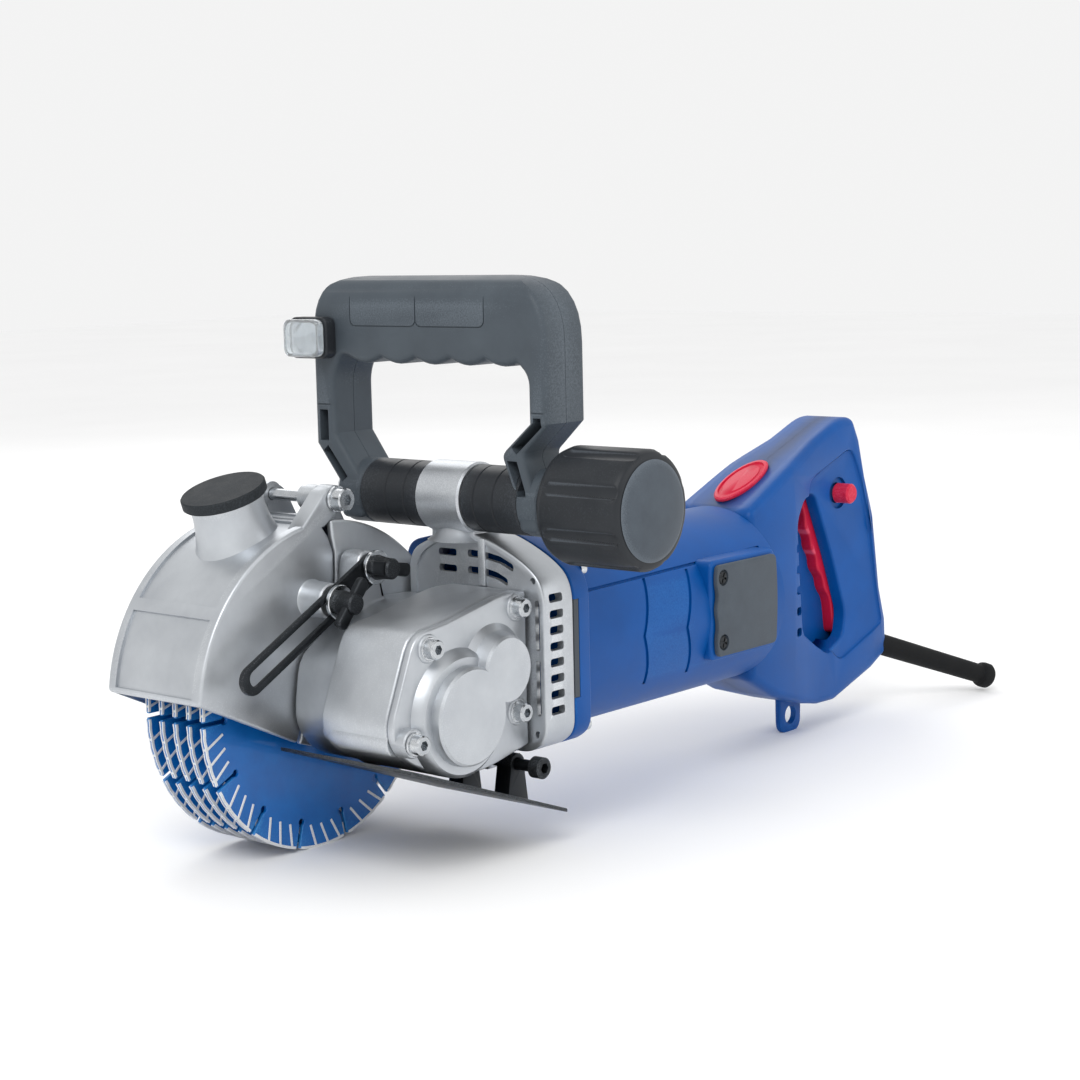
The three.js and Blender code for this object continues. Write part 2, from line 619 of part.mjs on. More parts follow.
function addRearGuard() {
  const top = 88;
  const rear = -36;
  const seam = [[-25.5, bottomZ(-25.5)], [-18, 6], [-13, 20], [-2.4, 34], [4.1, 64 + seamRise],
    [4.2, 77 + seamRise], [2, 86 + seamRise]];
  const steps = 14;
  const wall = outline([...arcPoints(guardOuter, top, rear, guardCentre, steps), ...seam]);
  const nearWall = alongY(wall, guardNearY, guardNearY + guardWall);
  const farWall = alongY(wall, guardFarY - guardWall, guardFarY);
  const rim = ringSector(rear, top, guardNearY, guardFarY, steps);
  const [hx, hz] = hingeAxis;
  const ear = outline([[hx - 2, guardCentreZ + guardInner + 1], [26, guardCentreZ + guardInner - 6],
    [hx + 8, hz + 2, 3], [hx, hz + 6.5, 3], [hx - 4, hz, 3]]);
  const knuckleNear = guardNearY + 11 + fitGap;
  const knuckleFar = guardFarY - 11 - fitGap;
  const knuckle = union(alongY(ear, knuckleNear, knuckleFar),
    rodY(6.5, knuckleNear, knuckleFar, hingeAxis, 16));
  const pinHole = rodY(3 + fitGap, guardNearY, guardFarY, hingeAxis, 12);
  const spindleHole = rodY(spindleHub + 2, guardNearY - 1, guardNearY + guardWall + 1, spindleAxis, 24);
  const nutHole = rodY(spacerRadius + 2, guardFarY - guardWall - 1, guardFarY + 1, spindleAxis, 24);
  const whole = union(nearWall, farWall, rim, knuckle);
  add('rear_guard', whole.subtract(union(pinHole, spindleHole, nutHole)), castAluminium);
  const head = guardNearY - fitGap;
  const bolt = turnedY([[0, head - 7], [5.5, head - 7], [5.5, head], [3, head],
    [3, guardFarY + 5], [0, guardFarY + 5]], hingeAxis, 12);
  add('hinge_bolt', bolt, blackSteel);
}

// ---------------------------------------------------------------- depth arm and wing bolts
const slotReach = 96;
const armAngle = THREE.MathUtils.radToDeg(
  Math.atan2(lowerStud[1] - upperStud[1], lowerStud[0] - upperStud[0]));

function addDepthArm() {
  const half = armWidth / 2;
  const halfSlot = armSlotWidth / 2;
  const body = new THREE.Shape();
  body.absarc(0, 0, half, Math.PI / 2, 3 * Math.PI / 2, false);
  body.absarc(slotReach, 0, half, -Math.PI / 2, Math.PI / 2, false);
  body.closePath();
  const slot = new THREE.Path();
  slot.absarc(24, 0, halfSlot, 3 * Math.PI / 2, Math.PI / 2, true);
  slot.absarc(slotReach - 2, 0, halfSlot, Math.PI / 2, -Math.PI / 2, true);
  slot.closePath();
  const hole = new THREE.Path();
  hole.absarc(0, 0, studRadius + fitGap, 0, 2 * Math.PI, true);
  body.holes.push(slot, hole);
  const flat = extruded(body, armThickness, 6).rotateZ(rad(armAngle)).rotateX(Math.PI / 2);
  flat.translate(upperStud[0], armFarY, upperStud[1]);
  add('depth_arm', solid(flat), blackSteel);

  const wingBolt = (name, at, innerEnd, lean) => {
    const seat = armNearY - fitGap;
    const stem = turnedY([[0, seat - 7], [5.5, seat - 7], [6.5, seat - 2], [8, seat - 2], [8, seat],
      [studRadius, seat], [studRadius, innerEnd], [0, innerEnd]], at, 16);
    const wings = alongY(outline([[-14.6, 4, 3], [-13, -4, 3], [0, -3.5], [13, -4, 3], [14.6, 4, 3],
      [0, 3.5]]), seat - 12, seat - 7.5, 2);
    const turn = new THREE.Matrix4().makeRotationY(rad(lean));
    turn.setPosition(at[0], 0, at[1]);
    const web = turnedY([[0, seat - 12], [5, seat - 12], [5, seat - 6], [0, seat - 6]], at, 12);
    add(name, union(stem, web, wings.transform([...turn.elements])), blackSteel);
  };
  wingBolt('wing_bolt_upper', upperStud, caseFarY - 4, 10);
  wingBolt('wing_bolt_lower', lowerStud, guardNearY - 4, -50);
}

// ---------------------------------------------------------------- sole plate
const soleZ = (x) => -16 - Math.tan(rad(soleTilt)) * (x + 40);

function addSolePlate() {
  const plate = alongY(outline([[soleFrontX, soleZ(soleFrontX)], [soleRearX, soleZ(soleRearX)],
    [soleRearX, soleZ(soleRearX) - soleThickness],
    [soleFrontX, soleZ(soleFrontX) - soleThickness]]), soleNearY, guardNearY - runningGap);
  const [px, pz] = solePin;
  const ears = [-88, -56].map((y) => union(
    alongY(outline([[px - 8, soleZ(px - 8) - 1], [px + 8, soleZ(px + 8) - 1], [px + 4.5, pz + 3, 3],
      [px - 4.5, pz + 3, 3]]), y, y + 10),
    rodY(5.5, y, y + 10, solePin, 16)));
  const pinHole = rodY(3 + fitGap, soleNearY, guardNearY, solePin, 12);
  add('sole_plate', union(plate, ...ears).subtract(pinHole), blackSteel);
  const headY = soleNearY + 6;
  const pin = turnedY([[0, headY - 7], [5.5, headY - 7], [5.5, headY], [3, headY], [3, -28], [0, -28]],
    solePin, 12);
  add('sole_hinge_pin', pin, blackSteel);
}

// ---------------------------------------------------------------- motor
const brushX = commutatorFromX + commutatorLength / 2;

function addMotor() {
  const flange = alongX(housingOutline(0, housingFarY), flangeFromX, flangeFromX + motorFlangeDepth, 3);
  const barrel = turnedX([[0, flangeFromX + 4], [motorRadius, flangeFromX + 4],
    [motorRadius, motorRearX], [0, motorRearX]], motorAxis, 40);
  const throat = rodX(30, flangeFromX - 1, barrelFromX + 2, motorAxis, 32);
  const room = rodX(motorRadius - motorWall, barrelFromX + 1, motorRearX + 1, motorAxis, 40);
  const padX = [brushX - 30, brushX + 34];
  const padZ = motorZ + 3.5;
  const padReach = motorRadius + 0.5;
  const pads = [-1, 1].map((side) => box(padX,
    [motorY + side * padReach, motorY + side * (padReach - 12)].sort((p, q) => p - q),
    [padZ - 29, padZ + 29]));
  const holders = [-1, 1].map((side) => {
    const mid = motorY + side * (motorRadius + 2);
    return box([brushX - 8, brushX + 8], [mid - 14, mid + 14], [motorZ - 8, motorZ + 8]);
  });
  const whole = union(flange, barrel, ...pads);
  add('motor_housing', whole.subtract(union(throat, room, ...holders)).subtract(guardEnvelope), blueAbs);
  add('stator_core', ringX(armatureRadius + 0.8, motorRadius - motorWall - 2, coreFromX,
    coreFromX + coreLength, motorAxis), laminations);

  [-1, 1].forEach((side) => {
    const name = side < 0 ? 'near' : 'far';
    const seat = motorY + side * (padReach + fitGap);
    const span = side < 0 ? [seat - 3, seat] : [seat, seat + 3];
    add(`brush_cover_${name}`, alongY(outline([[padX[0] + 2, padZ - 27, 4], [padX[1] - 2, padZ - 27, 4],
      [padX[1] - 2, padZ + 27, 4], [padX[0] + 2, padZ + 27, 4]]), ...span, 2), blackNylon);
    const along = (a, b) => [motorY + side * a, motorY + side * b].sort((p, q) => p - q);
    const innerTip = commutatorRadius + fitGap;
    add(`carbon_brush_${name}`, box([brushX - 4, brushX + 4], along(innerTip, innerTip + 16),
      [motorZ - 3, motorZ + 3]), carbon);
  });
}

// ---------------------------------------------------------------- rear handle
const handleSplit = 0.15;       // half the gap between the two shells
const rearX = motorRearX + fitGap;
const fromRear = (corners) => corners.map(([x, y, r]) => [x + rearX, y, r]);
const eyeletAt = [rearX + 76, -67.5];
const bootAt = [rearX + 168, motorY - 8, -35];
const buttonAt = [rearX + 113, 70];

function addRearHandle() {
  const barrelTop = motorZ + motorRadius;
  const barrelFoot = motorZ - motorRadius;
  const side = alongY(outline(fromRear([[0, barrelTop - 2, 3], [13, barrelTop + 4, 8], [52, 94, 12],
    [91, 107.5, 12], [116, 116.5, 10], [130, 117, 8], [137, 102, 8], [144, 78, 8], [154, 52, 8],
    [164, 4, 8], [173, -18, 8], [175, -42, 6], [106, -62, 8], [88, -61.5, 8], [66, -57, 8],
    [30, -46, 8], [0, barrelFoot + 1, 3]])), motorY - 40, motorY + 40);
  // in plan the handle narrows from the motor to the cord end
  const plan = solid(extruded(outline(fromRear([[-1, motorY - 28], [50, motorY - 25], [85, motorY - 19],
    [150, motorY - 18.5, 8], [180, motorY - 14, 8], [180, motorY + 14, 8], [150, motorY + 18.5, 8],
    [85, motorY + 19], [50, motorY + 25], [-1, motorY + 28]])), 240, 3).translate(0, 0, -90));
  const frame = side.intersect(plan);
  const opening = alongY(outline(fromRear([[56, 58, 6], [58, 30], [63, -12, 5], [98, -31, 5],
    [118, -22, 4], [121, -7, 6], [108, 26], [97, 50], [86, 73, 6], [66, 71, 6]])),
    motorY - 40, motorY + 40);
  const eyelet = alongY(outline([[eyeletAt[0] - 12, -52], [eyeletAt[0] - 11, -78, 8],
    [eyeletAt[0] + 11, -78, 8], [eyeletAt[0] + 12, -52]]), motorY - 4, motorY - handleSplit);
  const eyeletHole = rodY(6, motorY - 6, motorY + 6, eyeletAt, 16);
  const slotHalf = triggerWidth / 2 + 2 * fitGap;
  const triggerSlot = alongY(outline(fromRear([[84, 76], [108, 76], [152, -10], [148, -27],
    [112, -27], [96, 44]])), motorY - slotHalf, motorY + slotHalf);
  const switchRoom = box([rearX + 128, rearX + 144.4], [motorY - 8.4, motorY + 8.4], [19.6, 46.4]);
  const bootHole = bootSolid(bootRadius + fitGap, -18, 20, 16);
  const buttonHole = rodY(6.2 + fitGap, motorY - 40, motorY - 11, buttonAt, 20);
  const room = alongY(outline(fromRear([[-1, 60], [34, 60, 6], [34, -18, 6], [-1, -18]])),
    motorY - 21, motorY + 21);
  const cuts = union(opening, triggerSlot, switchRoom, bootHole, room, eyeletHole);
  const nearHalf = box([rearX - 5, rearX + 200], [motorY - 60, motorY - handleSplit], [-100, 140]);
  const farHalf = box([rearX - 5, rearX + 200], [motorY + handleSplit, motorY + 60], [-100, 140]);
  const nearShell = frame.intersect(nearHalf).add(eyelet);
  add('rear_handle_near', nearShell.subtract(cuts.add(buttonHole)), blueAbs);
  add('rear_handle_far', frame.intersect(farHalf).subtract(cuts), blueAbs);
  add('lock_button', rodY(6.2, motorY - 27, motorY - 15, buttonAt, 20), redPlastic);
  add('switch_block', box([rearX + 132, rearX + 144], [motorY - 8, motorY + 8], [20, 46]),
    blackNylon);
  const trigger = outline(fromRear([[85, 66, 6], [90, 52, 4], [97, 40, 4], [102.5, 27, 4],
    [108, 19, 4], [116.5, 7, 4], [121, -9, 4], [122.5, -22, 4], [136, -24, 5], [137, -8, 5],
    [103, 72, 4], [92, 72, 4]]));
  add('trigger', alongY(trigger, motorY - triggerWidth / 2, motorY + triggerWidth / 2), redPlastic);
  const boot = bootSolid(bootRadius, -14, bootLength, 16)
    .add(bootSolid(bootRadius + 1.5, bootLength - 8, bootLength, 16))
    .subtract(bootSolid(3.5, -15, bootLength + 1, 12));
  add('cord_boot', boot, rubber);
}

// A round rod along the cord's exit line, which falls to the rear.
function bootSolid(radius, from, to, segments) {
  const rod = new THREE.CylinderGeometry(radius, radius, to - from, segments);
  rod.translate(0, (from + to) / 2, 0).rotateZ(-Math.PI / 2).rotateY(rad(bootDroop)).rotateZ(rad(-bootYaw));
  return solid(rod.translate(...bootAt));
}

// ---------------------------------------------------------------- front handle
function addFrontHandle() {
  const top = pivotZ + handleHeight;
  const under = top - gripHeight;
  const nearIn = handleNearY + legThickness;
  const farIn = handleFarY - legThickness - 2;
  const kneeZ = pivotZ + 25;
  const footZ = pivotZ - 2;
  const half = handleDepth / 2;
  const loop = outline([
    [handleNearY, top, 26], [handleFarY, top, 26], [handleFarY, kneeZ, 6], [24, footZ + 6, 4],
    [24, footZ - 12], [8, footZ - 12], [8, footZ + 8, 4], [farIn, kneeZ + 6, 8], [farIn, under, 14],
    [nearIn, under, 14], [nearIn, kneeZ + 16, 8], [-90, kneeZ, 6], [-101, footZ],
    [-101, footZ - 12], [-114, footZ - 12], [-114, footZ], [-104, kneeZ, 6], [handleNearY, kneeZ + 16, 8],
  ]);
  const rings = union(rodY(sleeveRadius, 8, 24, pivotAxis), rodY(sleeveRadius, -114, -101, pivotAxis));
  const boltHole = rodY(handleBoltRadius + fitGap, -130, 40, pivotAxis, 16);
  const round = box([handlePivotX - half - 1, handlePivotX + half + 1], [-140, 60],
    [pivotZ - 40, top + 10]);
  const between = rodY(sleeveRadius + fitGap, -101, 8, pivotAxis);
  const headRoom = rodY(11.5, 24, 60, pivotAxis, 16);
  const legs = alongX(loop, handlePivotX - half, handlePivotX + half, 4);
  const body = union(legs.subtract(between), rings.intersect(round))
    .subtract(union(boltHole, headRoom));
  const split = (xs) => body.intersect(box(xs, [-140, 60], [pivotZ - 60, top + 20]));
  add('loop_handle_front', split([handlePivotX - 40, handlePivotX - handleSplit]), blackNylon);
  add('loop_handle_rear', split([handlePivotX + handleSplit, handlePivotX + 40]), blackNylon);

  const neckNear = motorY + 2 - neckWidth / 2;
  const neckFar = motorY + 2 + neckWidth / 2;
  add('sleeve_near', ringY(handleBoltRadius + fitGap, sleeveRadius, -101 + fitGap, neckNear - fitGap,
    pivotAxis), blackNylon);
  add('sleeve_far', ringY(handleBoltRadius + fitGap, sleeveRadius, neckFar + fitGap, 8 - fitGap,
    pivotAxis), blackNylon);
  const boltHead = 24 + fitGap;
  const knobFrom = -114 - fitGap;
  add('handle_bolt', turnedY([[0, -150], [handleBoltRadius, -150], [handleBoltRadius, boltHead],
    [10.5, boltHead], [10.5, boltHead + 7], [0, boltHead + 7]], pivotAxis, 16), zincSteel);

  const flutes = Array.from({ length: 8 }, (_, i) => {
    const [x, z] = polar(knobRadius + 3.5, 45 * i + 22.5, pivotAxis);
    return rodY(5.5, knobFrom - knobLength - 2, knobFrom - 14, [x, z], 10);
  });
  const face = knobFrom - 8 - knobLength;
  const knob = turnedY([[0, face - 4], [12, face - 3], [24, face], [knobRadius, face + 6],
    [knobRadius, knobFrom - 12], [knobRadius - 5, knobFrom - 7], [15, knobFrom - 6],
    [15, knobFrom], [0, knobFrom]], pivotAxis, 32);
  const thread = rodY(handleBoltRadius + fitGap, -152, knobFrom + 1, pivotAxis, 16);
  add('clamp_knob', knob.subtract(union(thread, ...flutes)), blackNylon);

  const lampAt = [handleFarY - 4.5, pivotZ + 82];
  const front = handlePivotX - half - fitGap;
  const lampOutline = (halfWidth, halfHeight) => outline([
    [lampAt[0] - halfWidth, lampAt[1] - halfHeight, 5], [lampAt[0] + halfWidth, lampAt[1] - halfHeight, 5],
    [lampAt[0] + halfWidth, lampAt[1] + halfHeight, 5], [lampAt[0] - halfWidth, lampAt[1] + halfHeight, 5]]);
  add('lamp_housing', alongX(lampOutline(14, 11), front - 7, front, 2), blackNylon);
  add('lamp_lens', alongX(lampOutline(13, 10), front - 13, front - 7 - fitGap, 2), clearLens);
}

// ---------------------------------------------------------------- the whole tool
addGearCase();
addGearCover();
addFanHousing();
addRearGuard();
addGuardCover();
addDepthArm();
addSolePlate();
addSpindle();
addBlades();
addIdler();
addArmature();
addMotor();
addRearHandle();
addFrontHandle();

// The origin goes to the middle of the object's base.
const bounds = new THREE.Box3().setFromObject(group);
const middle = bounds.getCenter(new THREE.Vector3());
group.position.set(-middle.x, -middle.y, -bounds.min.z);

export default group;
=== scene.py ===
import math

import bmesh
import bpy
from mathutils import Matrix, Vector


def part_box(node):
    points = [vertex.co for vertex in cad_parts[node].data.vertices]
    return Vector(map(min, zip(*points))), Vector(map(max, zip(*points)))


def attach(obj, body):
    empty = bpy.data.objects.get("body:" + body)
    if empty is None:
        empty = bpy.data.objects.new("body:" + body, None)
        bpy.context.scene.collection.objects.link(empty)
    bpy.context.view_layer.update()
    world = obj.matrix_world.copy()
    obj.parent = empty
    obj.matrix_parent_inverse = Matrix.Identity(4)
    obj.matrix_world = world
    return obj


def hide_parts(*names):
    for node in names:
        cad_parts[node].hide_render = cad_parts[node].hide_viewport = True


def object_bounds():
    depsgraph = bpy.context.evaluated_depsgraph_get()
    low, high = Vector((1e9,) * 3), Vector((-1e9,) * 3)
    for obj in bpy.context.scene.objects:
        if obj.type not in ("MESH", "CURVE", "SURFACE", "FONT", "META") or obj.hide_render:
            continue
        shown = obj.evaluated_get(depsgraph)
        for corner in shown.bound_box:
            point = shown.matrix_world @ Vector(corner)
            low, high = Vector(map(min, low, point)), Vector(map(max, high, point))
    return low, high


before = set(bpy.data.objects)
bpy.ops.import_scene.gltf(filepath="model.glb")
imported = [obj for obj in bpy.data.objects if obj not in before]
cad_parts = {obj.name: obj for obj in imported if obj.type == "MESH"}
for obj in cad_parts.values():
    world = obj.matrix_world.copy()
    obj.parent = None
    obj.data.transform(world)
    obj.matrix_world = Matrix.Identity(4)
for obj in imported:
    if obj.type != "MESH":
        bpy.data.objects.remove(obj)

# Looks of a five-blade wall chaser. Shapes are laid out in millimetres about the centre of the
# first blade: +X to the rear along the motor, +Y to the blade side, +Z up.
CAD_LOW, CAD_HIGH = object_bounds()
blade_low, blade_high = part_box("blade_1")
PLACE = Matrix.Translation((blade_low + blade_high) / 2) @ Matrix.Scale(0.001, 4)

MOTOR = (-50, 20.97)                # the motor's axis, (Y, Z)
MOTOR_RADIUS = 52
BARREL = (94.3, 283.3)              # the motor barrel's two ends along X
REAR = 283.6                        # the rear handle starts here
HOUSING_APEX = 84.27
GUARD_CENTRE = (-1.7, 4)
GUARD_OUTER = 90
GUARD_INNER = 87
GUARD_Y = (-14, 55.3)
GUARD_WALL = 3
HINGE = (5.7, 104.3)
PORT_FOOT = Vector((-30.4, 20.65, 82.9))
PORT_LEAN = 18
PIVOT = (62, 102.02)                # the front handle's pivot, (X, Z)
SLEEVE_RADIUS = 17.4
UPPER_STUD = (13, 69.8)
LOWER_STUD = (-14, 55.6)
ARM_Y = (-32.5, -29.5)
SOLE_PIN = (57, -34)
COVER_PLANE = -97
COVER_NOSE = -108
COVER_SCREWS = [(-17.5, 39), (-35, -4), (48, 50), (47, -3.5)]
BLADE_RADIUS = 78
BLADE_PITCH = 10.2
BLADE_SEGMENTS = 14
BLADE_HALF = 1.2
FAN_FRONT = 55.99
FAN_REAR = 79.19


# ---------------------------------------------------------------- shapes
def arc(radius, start, end, centre, steps):
    """Points of an arc between two angles in degrees."""
    turns = [math.radians(start + (end - start) * i / steps) for i in range(steps + 1)]
    return [(centre[0] + radius * math.cos(t), centre[1] + radius * math.sin(t)) for t in turns]


def outlined(corners, radius=0.0, steps=8):
    """A closed outline through corners (a, b, radius); the radius rounds that corner."""
    points = []
    for i, corner in enumerate(corners):
        here = Vector(corner[:2])
        size = corner[2] if len(corner) > 2 else radius
        if not size:
            points.append(here)
            continue
        ends = []
        for other in (corners[i - 1], corners[(i + 1) % len(corners)]):
            leg = Vector(other[:2]) - here
            ends.append(here + leg.normalized() * min(size, leg.length * 0.49))
        for k in range(steps + 1):
            t = k / steps
            points.append(ends[0] * (1 - t) ** 2 + here * 2 * t * (1 - t) + ends[1] * t * t)
    return points


def prism(points, axis, start, end):
    """A flat outline pulled along an axis: (Y, Z) along X, (X, Z) along Y, (X, Y) along Z."""
    spots = {
        "X": lambda a, b: (start, a, b),
        "Y": lambda a, b: (a, start, b),
        "Z": lambda a, b: (a, b, start),
    }
    bm = bmesh.new()
    bm.faces.new([bm.verts.new(spots[axis](a, b)) for a, b in points])
    grown = bmesh.ops.extrude_face_region(bm, geom=list(bm.faces))
    moved = [part for part in grown["geom"] if isinstance(part, bmesh.types.BMVert)]
    bmesh.ops.translate(bm, verts=moved, vec=along(axis) * (end - start))
    bmesh.ops.recalc_face_normals(bm, faces=bm.faces)
    return bm


def along(axis):
    return Vector([float(axis == name) for name in "XYZ"])


def turned(profile, axis, centre=(0, 0), steps=48):
    """A profile of (radius, distance) spun all the way round an axis."""
    base = {"X": (0, *centre), "Y": (centre[0], 0, centre[1]), "Z": (*centre, 0)}[axis]
    out = along("Z") if axis == "X" else along("X")
    bm = bmesh.new()
    rim = [bm.verts.new(Vector(base) + out * r + along(axis) * s) for r, s in profile]
    rim += [bm.edges.new(pair) for pair in zip(rim, rim[1:])]
    bmesh.ops.spin(bm, geom=rim, cent=base, axis=along(axis), dvec=(0, 0, 0),
                   angle=2 * math.pi, steps=steps, use_merge=True)
    bmesh.ops.remove_doubles(bm, verts=bm.verts, dist=1e-3)
    bmesh.ops.recalc_face_normals(bm, faces=bm.faces)
    return bm


def rod(radius, axis, start, end, centre, steps=48, edge=0.0):
    """A round bar with a small chamfer at both ends."""
    if not edge:
        return turned([(0, start), (radius, start), (radius, end), (0, end)], axis, centre, steps)
    return turned([(0, start), (radius - edge, start), (radius, start + edge),
                   (radius, end - edge), (radius - edge, end), (0, end)], axis, centre, steps)


def block(xs, ys, zs):
    return prism([(xs[0], zs[0]), (xs[1], zs[0]), (xs[1], zs[1]), (xs[0], zs[1])], "Y", *ys)


def lozenge(a_half, b_half, centre, radius):
    """A rounded rectangle's outline."""
    a, b = centre
    return outlined([(a - a_half, b - b_half), (a + a_half, b - b_half),
                     (a + a_half, b + b_half), (a - a_half, b + b_half)], radius, 5)


def held(bm):
    """A working object that holds a shape while another one cuts it."""
    mesh = bpy.data.meshes.new("work")
    bm.to_mesh(mesh)
    bm.free()
    made = bpy.data.objects.new("work", mesh)
    bpy.context.scene.collection.objects.link(made)
    return made


def carved(bm, *tools, how="DIFFERENCE"):
    """A closed shape with others cut away from it, added to it or kept in common with it."""
    whole = held(bm)
    cutters = [held(tool) for tool in tools]
    for cutter in cutters:
        cut = whole.modifiers.new("cut", "BOOLEAN")
        cut.operation = how
        cut.object = cutter
        cut.solver = "EXACT"
    made = bmesh.new()
    made.from_object(whole, bpy.context.evaluated_depsgraph_get())
    for spent in [whole, *cutters]:
        mesh = spent.data
        bpy.data.objects.remove(spent)
        bpy.data.meshes.remove(mesh)
    bmesh.ops.remove_doubles(made, verts=made.verts, dist=0.01)
    bmesh.ops.dissolve_limit(made, angle_limit=math.radians(0.5), verts=made.verts, edges=made.edges)
    return made


def joined(bm, *others):
    """Shapes that are one casting, laid into one mesh."""
    for other in others:
        mesh = bpy.data.meshes.new("work")
        other.to_mesh(mesh)
        other.free()
        bm.from_mesh(mesh)
        bpy.data.meshes.remove(mesh)
    return bm


def soften(bm, width, degrees=35, segments=2):
    """Rounds every edge that is sharper than an angle."""
    limit = math.radians(degrees)
    sharp = [e for e in bm.edges if len(e.link_faces) == 2 and e.calc_face_angle(0) > limit]
    bmesh.ops.bevel(bm, geom=sharp, offset=width, offset_type="OFFSET", segments=segments,
                    profile=0.5, affect="EDGES", material=-1, clamp_overlap=False)
    return bm


def shifted(bm, matrix):
    bmesh.ops.transform(bm, matrix=matrix, verts=bm.verts)
    return bm


def cad_copy(node):
    """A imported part's own shape, merged and brought back to millimetres."""
    bm = bmesh.new()
    bm.from_mesh(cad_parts[node].data)
    shifted(bm, PLACE.inverted())
    bmesh.ops.remove_doubles(bm, verts=bm.verts, dist=0.004)
    bmesh.ops.dissolve_limit(bm, angle_limit=math.radians(1), verts=bm.verts, edges=bm.edges)
    return bm


def piece(name, bm, body, material, stands_for=(), crease=32):
    """Finishes a shape: to metres, in place, shaded, on its body, in its finish."""
    shifted(bm, PLACE)
    limit = math.radians(crease)
    for face in bm.faces:
        face.smooth = True
    for edge in bm.edges:
        edge.smooth = len(edge.link_faces) != 2 or edge.calc_face_angle(0) < limit
    mesh = bpy.data.meshes.new(name)
    bm.to_mesh(mesh)
    bm.free()
    made = bpy.data.objects.new(name, mesh)
    bpy.context.scene.collection.objects.link(made)
    mesh.materials.append(material)
    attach(made, body)
    if stands_for:
        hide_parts(*stands_for)
    return made


# ---------------------------------------------------------------- finishes
def linear(code):
    """An sRGB hex colour as linear numbers."""
    levels = [int(code[i:i + 2], 16) / 255 for i in (1, 3, 5)]
    return (*[v / 12.92 if v < 0.04045 else ((v + 0.055) / 1.055) ** 2.4 for v in levels], 1.0)


def put(tree, kind, sockets, **settings):
    """Adds a node with its settings, its values and its links."""
    node = tree.nodes.new(kind)
    for name, value in settings.items():
        setattr(node, name, value)
    for name, value in sockets.items():
        if isinstance(value, bpy.types.NodeSocket):
            tree.links.new(value, node.inputs[name])
        else:
            node.inputs[name].default_value = value
    return node


def finish(name, light, dark, worn, patch, grain, depth, rough, bands=None, **gloss):
    """One surface. Two near colours drift in patches, a fine grain stands up by its depth, and
    edges are rubbed towards the worn colour. patch, grain and depth are millimetres; bands is
    (axis, millimetres) for a turned, drawn or stacked surface; gloss is set on the shader."""
    material = bpy.data.materials.new(name)
    material.use_nodes = True
    tree = material.node_tree
    tree.nodes.clear()
    where = put(tree, "ShaderNodeTexCoord", {}).outputs["Object"]
    drift = put(tree, "ShaderNodeTexNoise", {"Vector": where, "Scale": 1000 / patch, "Detail": 4.0,
                                             "Roughness": 0.6}).outputs["Fac"]
    speck = put(tree, "ShaderNodeTexNoise", {"Vector": where, "Scale": 1000 / grain, "Detail": 2.0,
                                             "Roughness": 0.7}).outputs["Fac"]
    spread = put(tree, "ShaderNodeMapRange", {"Value": drift, "From Min": 0.3, "From Max": 0.7})
    tint = put(tree, "ShaderNodeMix", {0: spread.outputs[0], 6: linear(dark), 7: linear(light)},
               data_type="RGBA").outputs[2]
    height = speck
    if bands:
        axis, pitch = bands
        # a wave texture repeats every 0.314 of its scaled coordinate
        wave = put(tree, "ShaderNodeTexWave", {"Vector": where, "Scale": 314 / pitch, "Distortion": 0.6,
                                               "Detail": 1.0}, bands_direction=axis).outputs["Fac"]
        height = put(tree, "ShaderNodeMix", {0: 0.5, 2: speck, 3: wave}, data_type="FLOAT").outputs[0]
        tint = put(tree, "ShaderNodeMix", {0: wave, 6: tint, 7: linear(dark)}, data_type="RGBA").outputs[2]
    corner = put(tree, "ShaderNodeNewGeometry", {}).outputs["Pointiness"]
    rub = put(tree, "ShaderNodeMix", {0: 0.15, 2: corner, 3: speck}, data_type="FLOAT").outputs[0]
    rubbed = put(tree, "ShaderNodeMapRange", {"Value": rub, "From Min": 0.54, "From Max": 0.62})
    tint = put(tree, "ShaderNodeMix", {0: rubbed.outputs[0], 6: tint, 7: linear(worn)},
               data_type="RGBA").outputs[2]
    sheen = put(tree, "ShaderNodeMapRange", {"Value": drift, "From Min": 0.3, "From Max": 0.7,
                                             "To Min": rough[0], "To Max": rough[1]})
    relief = put(tree, "ShaderNodeBump", {"Height": height, "Strength": 0.35, "Distance": depth / 1000})
    shader = put(tree, "ShaderNodeBsdfPrincipled", {"Base Color": tint, "Roughness": sheen.outputs[0],
                                                    "Normal": relief.outputs[0]})
    for socket, value in gloss.items():
        shader.inputs[socket.replace("_", " ")].default_value = value
    put(tree, "ShaderNodeOutputMaterial", {"Surface": shader.outputs[0]})
    return material


# Pressure die-cast aluminium, shot-blasted: a soft pewter sheen with a fine sandy grain.
CAST = finish("shot_blasted_cast_aluminium", "#C2C6CA", "#B2B6BB", "#DCDFE2", 24, 0.7, 0.05,
              (0.36, 0.46), Metallic=0.85)
# Machined steel, zinc plated and chromated: bright, with faint turning marks.
ZINC = finish("zinc_plated_turned_steel", "#C9CCCF", "#AEB2B6", "#E4E6E8", 6, 0.5, 0.01,
              (0.2, 0.3), bands=("Y", 0.5), Metallic=1.0)
# Steel rolled and blackened in hot oxide: near black, oily, bare grey on its corners.
BLACK_STEEL = finish("black_oxide_steel", "#2C2F33", "#222528", "#6A6E72", 9, 0.6, 0.02,
                     (0.34, 0.48), Metallic=0.75)
# Gear steel, hobbed, hardened and ground: mid grey with a fine ground lay.
GEAR = finish("ground_case_hardened_steel", "#94989C", "#83878B", "#C4C7CA", 5, 0.4, 0.01,
              (0.25, 0.36), bands=("Y", 0.6), Metallic=1.0)
